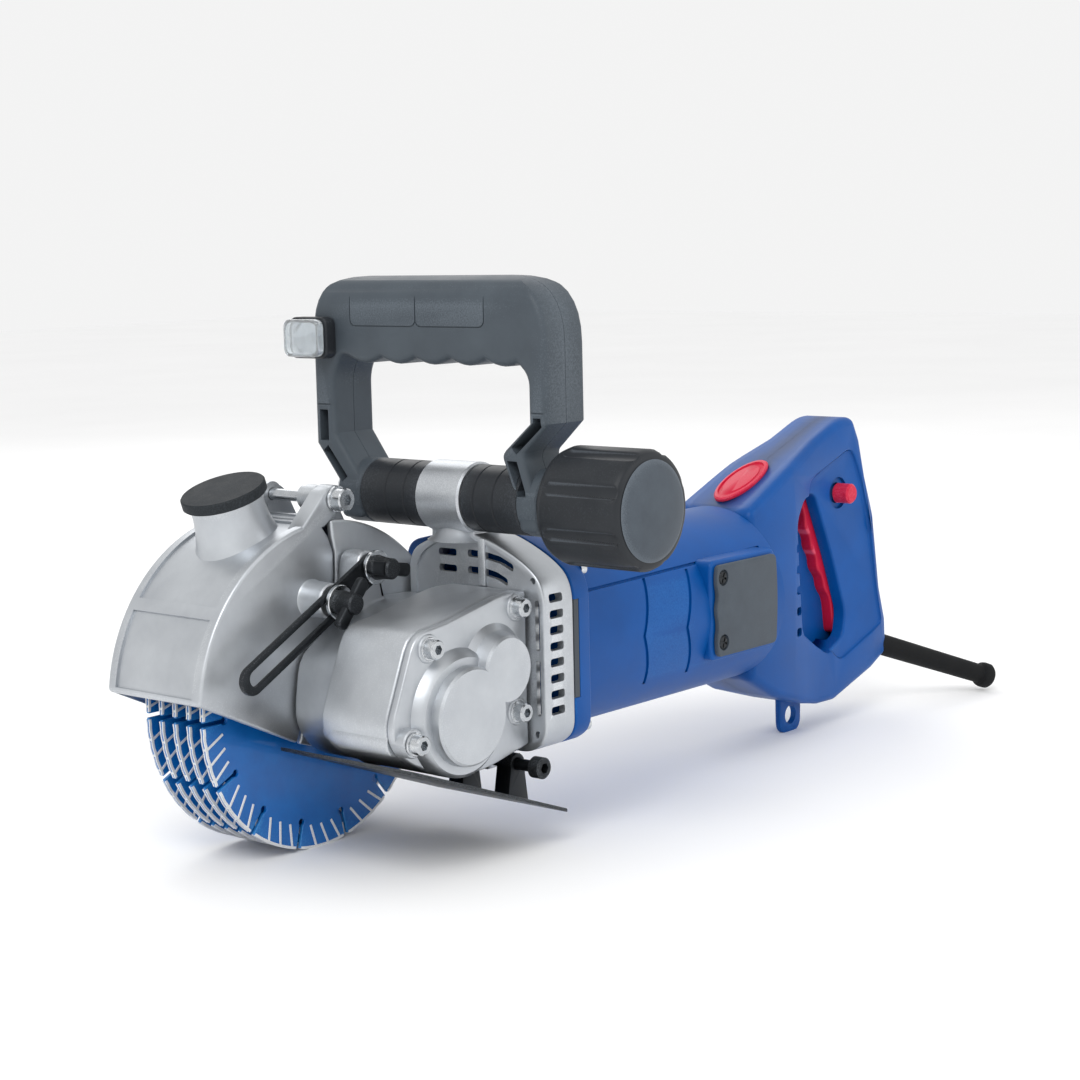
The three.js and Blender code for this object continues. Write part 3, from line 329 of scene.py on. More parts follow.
# Blade steel sprayed with blue enamel: a thin, even, half-gloss film.
BLADE_BLUE = finish("blue_enamelled_blade_steel", "#0066B6", "#005AA6", "#3088C8", 18, 0.8, 0.01,
                    (0.28, 0.36), Metallic=0.1, Coat_Weight=0.3)
# Diamond grit sintered in a bronze and steel matrix: pale, gritty and dull.
DIAMOND = finish("sintered_diamond_matrix", "#D2D4D6", "#A5A8AB", "#EDEEEF", 2, 0.35, 0.12,
                 (0.45, 0.6), Metallic=0.35)
# Silicon-steel sheets stamped and stacked: dark, with one line to each sheet.
LAMINATED = finish("stacked_silicon_steel", "#75797D", "#3C3F42", "#8F9397", 4, 0.5, 0.04,
                   (0.4, 0.5), bands=("X", 1.0), Metallic=0.8)
# Drawn commutator copper, skimmed on the lathe.
COPPER = finish("skimmed_commutator_copper", "#B8743E", "#9A5E30", "#D89A68", 4, 0.5, 0.01,
                (0.28, 0.4), bands=("X", 0.6), Metallic=1.0)
# Pressed and baked carbon with a matt, dusty face.
CARBON = finish("pressed_carbon", "#232324", "#161617", "#3A3A3C", 2, 0.4, 0.05, (0.7, 0.9))
# ABS moulded in a spark-eroded tool: strong blue with a satin, finely pebbled skin.
BLUE = finish("moulded_blue_abs", "#00509C", "#00478D", "#1B63AA", 40, 0.9, 0.03, (0.36, 0.44),
              IOR=1.53, Specular_IOR_Level=0.2)
# Glass-filled nylon for the front handle: slate grey with a low, even sheen.
GREY_NYLON = finish("glass_filled_grey_nylon", "#4A5259", "#41484F", "#646C74", 30, 0.8, 0.05,
                    (0.42, 0.52), IOR=1.53, Specular_IOR_Level=0.2)
# The same nylon with more carbon black, for the sleeves, the knob and small fittings.
BLACK_NYLON = finish("glass_filled_black_nylon", "#2A2D31", "#222529", "#454A50", 20, 0.8, 0.04,
                     (0.38, 0.48), IOR=1.53, Specular_IOR_Level=0.2)
# Soft-touch nylon: the knob's domed end and the brush covers, greyer and more matt.
SATIN_NYLON = finish("satin_grey_nylon", "#4C545C", "#434A52", "#636B73", 12, 0.5, 0.06,
                     (0.5, 0.6), IOR=1.53, Specular_IOR_Level=0.2)
# ABS moulded in signal red.
RED = finish("moulded_red_abs", "#D01C40", "#C21638", "#E2506A", 20, 0.8, 0.03, (0.34, 0.42),
             IOR=1.53, Specular_IOR_Level=0.2)
# Moulded EPDM rubber: matt, a little dusty.
RUBBER = finish("moulded_black_rubber", "#0E1012", "#0A0B0D", "#24282B", 12, 0.7, 0.08,
                (0.6, 0.75), IOR=1.52, Specular_IOR_Level=0.2)
CAP_RUBBER = finish("moulded_grey_rubber", "#24282C", "#1D2124", "#3A3F44", 10, 0.7, 0.08,
                    (0.6, 0.72), IOR=1.52, Specular_IOR_Level=0.2)
# Clear polycarbonate, moulded with a frosted lens pattern.
LENS = finish("clear_polycarbonate", "#F2F6F8", "#E2E8EC", "#FFFFFF", 3, 1.2, 0.1, (0.06, 0.14),
              IOR=1.585, Transmission_Weight=0.85)
# The lamp's reflector: polycarbonate metallised in vacuum, like a mirror.
REFLECTOR = finish("vacuum_metallised_reflector", "#E6E8EA", "#D2D5D8", "#FFFFFF", 3, 1.0, 0.05,
                   (0.08, 0.16), Metallic=1.0)


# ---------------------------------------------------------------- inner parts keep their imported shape
INNER = {
    "hinge_bolt": None,
    "spindle_bearing_inner": ZINC, "spindle_bearing_outer": ZINC, "idler_bearing": ZINC,
    "armature_bearing_front": ZINC, "armature_bearing_rear": ZINC, "stator_core": LAMINATED,
    "carbon_brush_near": CARBON, "carbon_brush_far": CARBON, "switch_block": BLACK_NYLON,
    "spindle": GEAR, "clamp_nut": ZINC, "spindle_gear": GEAR, "blade_spacer_1": ZINC,
    "blade_spacer_2": ZINC, "blade_spacer_3": ZINC, "blade_spacer_4": ZINC, "idler_shaft": GEAR,
    "bevel_ring_gear": GEAR, "armature_shaft": GEAR, "armature_core": LAMINATED,
    "commutator": COPPER, "cooling_fan": BLACK_NYLON, "handle_bolt": ZINC,
}
for inner_name, inner_finish in INNER.items():
    if inner_finish is None:
        continue
    inner_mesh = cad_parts[inner_name].data
    inner_mesh.materials.clear()
    inner_mesh.materials.append(inner_finish)


# ---------------------------------------------------------------- guard
def guard_room():
    """The space round the blades inside the guard."""
    points = arc(GUARD_INNER, 80, 185, GUARD_CENTRE, 60) + [(-30, -90), (60, -60), (60, 60)]
    return prism(points, "Y", GUARD_Y[0] + GUARD_WALL, GUARD_Y[1] - GUARD_WALL)


def rim_panel(start, end):
    """A shallow sunk panel on the guard's rim."""
    points = arc(GUARD_OUTER + 4, start, end, GUARD_CENTRE, 30)
    points += arc(GUARD_OUTER - 1.2, end, start, GUARD_CENTRE, 30)
    return prism(points, "Y", GUARD_Y[0] + 6, GUARD_Y[1] - 6)


def leaning(profile, steps=48):
    """A turned shape on the dust port's axis."""
    turn = Matrix.Rotation(math.radians(-PORT_LEAN), 4, "Y")
    return shifted(turned(profile, "Z", (0, 0), steps), Matrix.Translation(PORT_FOOT) @ turn)


def bottom(x):
    return -17 - math.tan(math.radians(22)) * (x + 27)


def make_guard_cover():
    seam = [(-27, bottom(-27)), (-19, 6), (-14, 20), (-3.6, 34), (2.9, 64), (3, 77), (-0.5, 86)]
    shell = prism(arc(GUARD_OUTER, 93, 174, GUARD_CENTRE, 54) + seam, "Y", *GUARD_Y)
    shell = soften(shell, 1.6, 50, 3)
    shell = carved(shell, guard_room(), rim_panel(96, 142.4), rim_panel(146.8, 172.4))
    hx, hz = HINGE
    ear = outlined([(-24, GUARD_CENTRE[1] + GUARD_INNER - 5), (-3, GUARD_CENTRE[1] + GUARD_INNER),
                    (hx + 6, hz - 4, 3), (hx + 3, hz + 7, 4), (hx - 6, hz + 6, 4)])
    pin = rod(3.3, "Y", -20, 60, HINGE)
    ears = [soften(prism(ear, "Y", a, b), 1, 40) for a, b in ((-14, -3), (44.3, 55.3))]
    bosses = [rod(7.2, "Y", a, b, HINGE, edge=0.8) for a, b in ((-14, -3), (44.3, 55.3))]
    boss = turned([(0, -28.7), (8.2, -28.7), (9, -27.9), (9.4, -15), (11, -12.5), (0, -12.5)],
                  "Y", LOWER_STUD)
    port = leaning([(0, -10), (26, -10), (23.5, -1), (21, 5), (19.4, 12), (18.6, 19), (18.5, 25),
                    (0, 25)])
    inside = rod(GUARD_INNER, "Y", -40, 90, GUARD_CENTRE, 96)
    port = carved(port, inside)
    shell = carved(shell, *ears, *bosses, boss, port, how="UNION")
    bore = leaning([(0, -30), (16, -30), (16, 26), (0, 26)])
    shell = carved(shell, bore, pin, rod(2.8, "Y", -40, -16, LOWER_STUD))
    piece("guard_cover_casting", shell, "swing_guard", CAST, ["guard_cover"])

    cap = leaning([(0, 17), (12.5, 17), (12.5, 24), (15.7, 24), (15.7, 25.3), (21.2, 25.3), (22, 26.1),
                   (22, 30.3), (21.4, 31), (0, 31.3)], 64)
    piece("dust_port_cap", cap, "dust_cap", CAP_RUBBER, ["dust_cap"])


def make_rear_guard():
    seam = [(-25.5, bottom(-25.5)), (-18, 6), (-13, 20), (-2.4, 34), (4.1, 64), (4.2, 77), (2, 86)]
    points = list(reversed(arc(GUARD_OUTER, -36, 88, GUARD_CENTRE, 80))) + seam
    shell = soften(prism(points, "Y", *GUARD_Y), 1.4, 50, 3)
    room = prism(arc(GUARD_INNER, -60, 100, GUARD_CENTRE, 90) + [(-60, 60), (-60, -70), (-20, -90)],
                 "Y", GUARD_Y[0] + GUARD_WALL, GUARD_Y[1] - GUARD_WALL)
    shell = carved(shell, room)
    hx, hz = HINGE
    ear = outlined([(hx - 2, 92), (26, 85), (hx + 9, hz + 2, 4), (hx, hz + 7, 3), (hx - 5, hz, 3)])
    knuckle = soften(prism(ear, "Y", -2.7, 44), 0.8, 40)
    roll = rod(6.6, "Y", -2.7, 44, HINGE, edge=0.8)
    middle = block((hx - 20, hx + 30), (8, 33), (hz - 12, hz + 12))
    window = carved(middle, rod(GUARD_OUTER + 1, "Y", 0, 40, GUARD_CENTRE, 96))
    shell = carved(shell, knuckle, roll, how="UNION")
    shell = carved(shell, window, rod(3.3, "Y", -20, 60, HINGE), rod(10, "Y", -20, -5, (0, 0)),
                   rod(24, "Y", 50, 60, (0, 0)))
    piece("rear_guard_casting", shell, "housing", CAST, ["rear_guard"])


# ---------------------------------------------------------------- screws
def cap_screw(centre, face, radius, height, shank, end, washer=0.0):
    """A socket-head cap screw that points along +Y, seen from its head."""
    head = turned([(0, face), (radius - 0.7, face), (radius, face + 0.7), (radius, face + height),
                   (shank, face + height), (shank, end), (0, end)], "Y", centre)
    socket = rod(radius * 0.52, "Y", face - 1, face + height * 0.6, centre, 6)
    head = carved(head, socket)
    if washer:
        ring = turned([(shank + 0.1, face + height - 1.2), (washer - 0.3, face + height - 1.2),
                       (washer, face + height - 0.9), (washer, face + height - 0.1),
                       (shank + 0.1, face + height - 0.1), (shank + 0.1, face + height - 1.2)],
                      "Y", centre)
        head = joined(head, ring)
    return head


def make_screws():
    for i, (x, z) in enumerate(COVER_SCREWS):
        seat = -102.6 if math.hypot(x, z) < 40 else COVER_PLANE - 0.3
        screw = cap_screw((x, z), seat - 6.6, 4.9, 6.6, 2.2, -70, 5.8)
        piece(f"cover_cap_screw_{i + 1}", screw, "housing", ZINC,
              [f"cover_screw_{i + 1}"])
    bolt = cap_screw(HINGE, -22, 5.9, 7.6, 3, 60, 6.8)
    nut = rod(5.8, "Y", 56, 62, HINGE, 6, 0.5)
    piece("hinge_cap_bolt", joined(bolt, nut), "housing", ZINC, ["hinge_bolt"])
    pin = cap_screw(SOLE_PIN, -106, 5.6, 6.7, 3, -28)
    piece("sole_pin_bolt", pin, "housing", BLACK_STEEL, ["sole_hinge_pin"])


# ---------------------------------------------------------------- gear case and cover
COVER_OUTLINE = [(-26, 47), (-45, 2), (-38, -12), (-20, -22), (-6, -27.5), (22, -29),
                 (55.7, -22, 0), (55.7, 57, 0), (38, 58), (-6, 49)]


def make_gear_case():
    case = soften(cad_copy("gear_case"), 1.6, 38, 3)
    ribs = []
    for x, z in COVER_SCREWS[:2]:
        ribs.append(turned([(0, -91.9), (7.4, -91.9), (8, -91.3), (8, -56), (5, -46), (0, -46)],
                           "Y", (x, z)))
    case = joined(case, *ribs)
    piece("gear_case_casting", case, "housing", CAST, ["gear_case"])


def make_gear_cover():
    plate = soften(prism(outlined(COVER_OUTLINE, 9), "Y", COVER_PLANE, -92.3), 1.2, 50, 3)
    step = turned([(0, -102.6), (29, -102.6), (31, -101), (33.5, -96.5), (0, -96.5)], "Y", (2, 3), 72)
    big = turned([(0, COVER_NOSE), (23.4, COVER_NOSE), (24.6, -106.8), (25, -105), (25.6, -96.5),
                  (0, -96.5)], "Y", (2.5, 3), 72)
    small = turned([(0, COVER_NOSE), (16, COVER_NOSE), (17.2, -106.8), (17.6, -105), (19, -100),
                    (23, -96.5), (0, -96.5)], "Y", (29.5, 22), 72)
    pads = [rod(7.2, "Y", -102.4 if math.hypot(x, z) < 40 else -98, -94, (x, z), edge=0.6)
            for x, z in COVER_SCREWS]
    body = carved(plate, step, big, small, *pads, how="UNION")
    body = carved(body, prism(outlined(COVER_OUTLINE, 9), "Y", -115, -90), how="INTERSECT")
    rooms = [rod(16.3, "Y", -104.6, -90, (0, 0)), rod(11, "Y", -105, -90, (31.1, 20.97))]
    holes = [rod(2.6, "Y", -110, -90, at, 24) for at in COVER_SCREWS]
    body = carved(body, *rooms, *holes)
    piece("gear_cover_casting", body, "housing", CAST, ["gear_cover"])


# ---------------------------------------------------------------- fan housing
def housing_points(inset, far, steps=10):
    near = -109 + inset
    edge = far - inset
    top = HOUSING_APEX - inset
    return outlined([
        (near, -19 + inset, 8), (near + 12, -27 + inset, 6), (edge - 8, -27 + inset, 6),
        (edge, -19 + inset, 6), (edge, top - 12, 10), (-42, top, 24), (-66, top, 24),
        (near + 14, top - 12, 18), (near, top - 24, 12)], 0, steps)


def curved_slot(points, half):
    """A slot that follows a bent line in (Y, Z), cut through the front plate."""
    upper = [(y, z + half) for y, z in points]
    lower = [(y, z - half) for y, z in reversed(points)]
    return prism(outlined(upper + lower, half * 0.8, 4), "X", FAN_FRONT - 2, FAN_FRONT + 6)


def make_fan_housing():
    shell = soften(prism(housing_points(0, -16), "X", FAN_FRONT, FAN_REAR), 1.4, 60, 3)
    cuts = [prism(housing_points(4, -16), "X", FAN_FRONT + 4, FAN_REAR + 1),
            prism(housing_points(3, -18), "X", FAN_FRONT - 2, FAN_FRONT + 1.2)]
    shell = carved(shell, *cuts)
    slots = [prism(lozenge(6.2, 1.9, (-43, z), 1.6), "X", FAN_FRONT - 2, FAN_FRONT + 6)
             for z in (73, 64.5)]
    slots += [curved_slot([(-57, 73.4), (-68, 73.2), (-79, 71.4), (-88, 67.6)], 1.9),
              curved_slot([(-57, 64.8), (-68, 64.6), (-77, 63), (-84, 60)], 1.9)]
    slots += [prism(lozenge(1.4, half, (-103.2, z), 1.3), "X", FAN_FRONT - 2, FAN_FRONT + 6)
              for z, half in ((39.5, 13), (7.3, 14.5))]
    slots += [rod(1.8, "X", FAN_FRONT - 2, FAN_FRONT + 6, at, 24)
              for at in ((-101.7, 62.4), (-102, -16.9))]
    for i in range(8):
        z = 53.4 - 8.3 * i
        slots.append(prism(lozenge(5.3, 2.2, (65.4, z), 1.6), "Y", -112, -103))
    shell = carved(shell, *slots)
    x, z = PIVOT
    neck = [rod(SLEEVE_RADIUS + 1.2, "Y", -63, -33, PIVOT, 64, 1.0),
            soften(prism(outlined([(x - 6, 79), (x + 15.5, 79), (x + 15.5, z), (x - 6, z)]), "Y",
                         -63, -33), 1.0, 40),
            turned([(0, 79.5), (20, 79.5), (16, 82), (13, 88), (0, 88)], "Z", (66, -48)),
            soften(block((FAN_FRONT - 0.4, FAN_FRONT + 3), (-70, -65), (57, 82)), 0.8, 40)]
    pin_ears = [soften(block((56.3, 66), (y, y + 8), (-40, -24)), 1.2, 40) for y in (-68, -38)]
    seat = turned([(17.8, 59), (22, 59), (22, 73), (17.8, 73), (17.8, 59)], "X", MOTOR)
    shell = carved(shell, *neck, *pin_ears, seat, how="UNION")
    cut = [rod(6.3, "Y", -70, -26, PIVOT), rod(3.3, "Y", -105, -14, SOLE_PIN),
           rod(12, "X", 54, 61, MOTOR), rod(GUARD_OUTER + 1.5, "Y", -15, 80, GUARD_CENTRE, 96),
           prism([(60, 60), (75, 60), (75, 78), (60, 78)], "Y", -61, -35)]
    shell = carved(shell, *cut)
    piece("fan_housing_casting", shell, "housing", CAST, ["fan_housing"])


# ---------------------------------------------------------------- motor
def make_motor():
    y, z = MOTOR
    flange = soften(prism(housing_points(0, 8), "X", 79.49, 92.49), 1.2, 60, 3)
    step = soften(prism(housing_points(4, 4), "X", 92, 96), 1.5, 60, 2)
    barrel = turned([(0, 85), (MOTOR_RADIUS, 85), (MOTOR_RADIUS, 282.6), (51.3, 283.3), (0, 283.3)],
                    "X", MOTOR, 96)
    pads = []
    for side in (-1, 1):
        face, back = y + side * 52.5, y + side * 36
        pads.append(soften(prism(lozenge(32, 28.6, (240, 24.5), 5), "Y", min(face, back),
                                 max(face, back)), 2, 50, 3))
    sleeve = turned([(0, 70), (MOTOR_RADIUS - 1.2, 70), (MOTOR_RADIUS - 1.2, 290), (0, 290)], "X", MOTOR, 96)
    lines = []
    for foot, x in ((20, 157), (19, 196)):
        band = [(x, 49.6), (x - 11, foot), (x, -9), (x + 2.6, -9), (x - 8.4, foot), (x + 2.6, 49.6)]
        lines += [prism(band, "Y", -115, -70), prism(band, "Y", -30, 15)]
    ridge = [(97, 48.6), (272, 52), (272, 53.4), (97, 50)]
    lines += [prism(ridge, "Y", -115, -50), prism(ridge, "Y", -50, 15)]
    grooves = [carved(line, copy_of(sleeve)) for line in lines]
    sleeve.free()
    body = carved(carved(barrel, *grooves), flange, step, *pads, how="UNION")
    room = [rod(MOTOR_RADIUS - 3, "X", 95.3, 290, MOTOR, 64), rod(30, "X", 70, 97, MOTOR, 48),
            rod(GUARD_OUTER + 1.5, "Y", -15, 80, GUARD_CENTRE, 96)]
    holders = [block((214, 230), sorted((y + side * 40, y + side * 68)), (13, 29)) for side in (-1, 1)]
    vent = prism([(78, 50.5), (83.6, 50.5), (83.6, -1), (78, -1)], "Y", -112, -106.4)
    body = carved(body, *room, *holders, vent)
    piece("motor_housing_moulding", body, "housing", BLUE, ["motor_housing"])
    # A black nylon strip laid almost flush into the cut along the flange's front edge: painted shade standing for the
    # dark air gap between the fan housing and the motor flange.
    strip = prism([(79.6, 50.4), (83.5, 50.4), (83.5, -0.9), (79.6, -0.9)], "Y", -108.8, -106.5)
    piece("air_gap_painted_shade_strip", soften(strip, 0.2, 40, 1), "housing", BLACK_NYLON)
    heads = []
    for at in ((-101, 64), (-102, -18)):
        head = turned([(0, 92), (3.6, 92), (3.6, 96.4), (3, 97), (0, 97)], "X", at, 32)
        heads.append(carved(head, rod(1.9, "X", 94.6, 99, at, 6)))
    piece("flange_screws", joined(*heads), "housing", ZINC)


def copy_of(bm):
    return bm.copy()


def make_brush_covers():
    y = MOTOR[0]
    edge = [(211, -1.5, 3), (268.5, -1.5, 4), (270.4, 25, 30), (268.5, 50.5, 4), (211, 50.5, 3),
            (209.6, 41, 5), (211.8, 33, 5), (209.4, 25, 5), (211.8, 16, 5), (209.6, 8, 5)]
    for name, side in (("near", -1), ("far", 1)):
        inner, outer = y + side * 52.8, y + side * 55.8
        plate = soften(prism(outlined(edge, 0, 6), "Y", min(inner, outer), max(inner, outer)), 0.7, 40)
        screws = []
        cuts = []
        for at in ((216, 43.2), (216, 6.4)):
            cuts.append(rod(4.6, "Y", outer - 1.6, outer + 1.6, at))
            screw = rod(3.6, "Y", outer - 1.7 if side > 0 else outer + 0.2,
                        outer - 0.2 if side > 0 else outer + 1.7, at, edge=0.4)
            for turn in (0, 90):
                bar = block((-3, 3), (outer - 0.9, outer + 0.9), (-0.6, 0.6))
                spin = Matrix.Translation((at[0], 0, at[1])) @ Matrix.Rotation(
                    math.radians(turn + 20), 4, "Y")
                screw = carved(screw, shifted(bar, spin))
            screws.append(screw)
        plate = carved(plate, *cuts)
        piece(f"brush_cover_plate_{name}", plate, "housing", SATIN_NYLON,
              [f"brush_cover_{name}"])
        piece(f"brush_cover_screws_{name}", joined(*screws), "housing", BLACK_STEEL)


# ---------------------------------------------------------------- rear handle
def from_rear(corners):
    return [(c[0] + REAR, *c[1:]) for c in corners]


def boot_place():
    """The cord's exit line, which falls to the rear and turns to the near side."""
    turn = Matrix.Rotation(math.radians(-22), 4, "Z") @ Matrix.Rotation(math.radians(19.5), 4, "Y")
    return Matrix.Translation((REAR + 168, MOTOR[0] - 8, -35)) @ turn


def make_rear_handle():
    y, z = MOTOR
    side = prism(outlined(from_rear([
        (0, z + 50), (13, z + 56, 20), (52, 94, 30), (91, 107.5, 30), (115, 116.8, 20),
        (129, 117), (137, 102), (144, 78), (154, 52), (164, 4), (173, -18),
        (175, -42), (106, -62), (88, -61.5), (66, -57), (30, -46), (0, z - 51)]),
        0, 4), "Y", y - 40, y + 40)
    plan = prism(outlined(from_rear([
        (-1, y - 28), (50, y - 25), (85, y - 19), (150, y - 18.5), (180, y - 14),
        (180, y + 14), (150, y + 18.5), (85, y + 19), (50, y + 25), (-1, y + 28)])),
        "Z", -90, 150)
    body = soften(carved(side, plan, how="INTERSECT"), 5, 50, 4)
    opening = outlined(from_rear([
        (56, 58, 6), (58, 30, 8), (63, -12, 5), (98, -31, 5), (118, -22, 4), (121, -7, 6),
        (108, 26, 8), (97, 50, 8), (86, 73, 6), (66, 71, 6)]), 0, 6)
    panel = outlined(from_rear([
        (74, 60), (74, 80, 5), (126, 98, 8), (137, 78, 8), (147, 50, 10), (156, 4, 10),
        (163, -20, 4), (112, -37, 6), (90, -20)]), 0, 6)
    slot = outlined(from_rear([(84, 76), (108, 76), (152, -10), (148, -27), (112, -27), (96, 44)]))
    cuts = [prism(panel, "Y", y - 60, y - 16.4), prism(panel, "Y", y + 16.4, y + 60)]
    body = carved(body, *cuts)
    body = soften(carved(body, prism(opening, "Y", y - 60, y + 60)), 1.6, 55, 3)
    more = [prism(slot, "Y", y - 8.1, y + 8.1),
            block((REAR + 128, REAR + 144.4), (y - 8.4, y + 8.4), (19.6, 46.4)),
            prism(outlined(from_rear([(-4, 60), (34, 60), (34, -18), (-4, -18)])), "Y", y - 21, y + 21),
            shifted(rod(7.3, "X", -18, 20, (0, 0)), boot_place()),
            rod(6.5, "Y", y - 40, y - 11, (REAR + 113, 70)),
            rod(10, "Y", y - 40, y - 14.4, (REAR + 113, 70))]
    for i in range(5):
        more.append(prism(lozenge(3.4, 2.6, (REAR + 57, 42 - 13 * i), 2.2), "Y", y - 60, y + 60))
    body = carved(body, *more)
    eye = outlined(from_rear([(64, -52), (64.5, -79, 9), (87.5, -79, 9), (88, -52)]), 0, 8)
    eyelet = soften(prism(eye, "Y", y - 4, y - 0.15), 1, 50)
    halves = {"near": (y - 60, y - 0.15), "far": (y + 0.15, y + 60)}
    for name, (low, high) in halves.items():
        half = carved(body.copy(), block((REAR - 5, REAR + 200), (low, high), (-100, 140)),
                      how="INTERSECT")
        if name == "near":
            half = carved(half, eyelet, how="UNION")
            half = carved(half, rod(6, "Y", y - 20, y + 20, (REAR + 76, -67.5)))
        piece(f"rear_handle_shell_{name}", half, "housing", BLUE,
              [f"rear_handle_{name}"])
    body.free()
    badge = turned([(0, 0), (22, 0), (23.4, 0.8), (23.4, 2.2), (22.4, 3), (20, 3.2), (19.4, 2.2),
                    (17, 2.4), (16, 3), (0, 3.6)], "Z", (0, 0), 64)
    badge_place = (Matrix.Translation((REAR + 31, y, 83.6)) @ Matrix.Rotation(math.radians(-22.5), 4, "Y")
                   @ Matrix.Diagonal((1.08, 0.5, 1, 1)))
    piece("oval_badge", shifted(badge, badge_place), "housing", RED)

    button = rod(6.2, "Y", y - 27, y - 15, (REAR + 113, 70), 48, 1.2)
    piece("lock_button_cap", button, "lock_button", RED, ["lock_button"])
    waves = outlined(from_rear([
        (84, 67, 5), (89, 58, 5), (88.5, 50, 6), (95, 43.5, 5), (95.5, 36, 6), (101.5, 30, 5),
        (102, 22, 6), (109, 16, 5), (110.5, 8, 6), (117, 2, 5), (119, -8, 6), (121, -22, 4),
        (136, -24, 5), (137, -8, 5), (103, 72, 4), (92, 72, 4)]), 0, 6)
    trigger = soften(prism(waves, "Y", y - 7.5, y + 7.5), 1.4, 40, 3)
    piece("trigger_lever", trigger, "trigger", RED, ["trigger"])
    boot = turned([(0, -14), (7, -14), (7, 10), (6.6, 60), (6.4, 93), (8, 94.5), (8.5, 96.5),
                   (8.4, 100.5), (7.4, 102), (4.2, 102), (3.6, 101.4), (3.5, 40), (0, 40)], "X", (0, 0), 40)
    piece("cord_strain_relief", shifted(boot, boot_place()), "housing", RUBBER, ["cord_boot"])


# ---------------------------------------------------------------- front handle
def grip_underside(near, far, height):
    """Finger lobes that hang down along the underside of the grip, from far to near."""
    points = []
    lobes = 5
    pitch = (far - near) / lobes
    for i in range(lobes):
        for k in range(8):
            t = k / 8
            points.append((far - pitch * (i + t), height - 3.2 * math.sin(math.pi * t)))
    return points


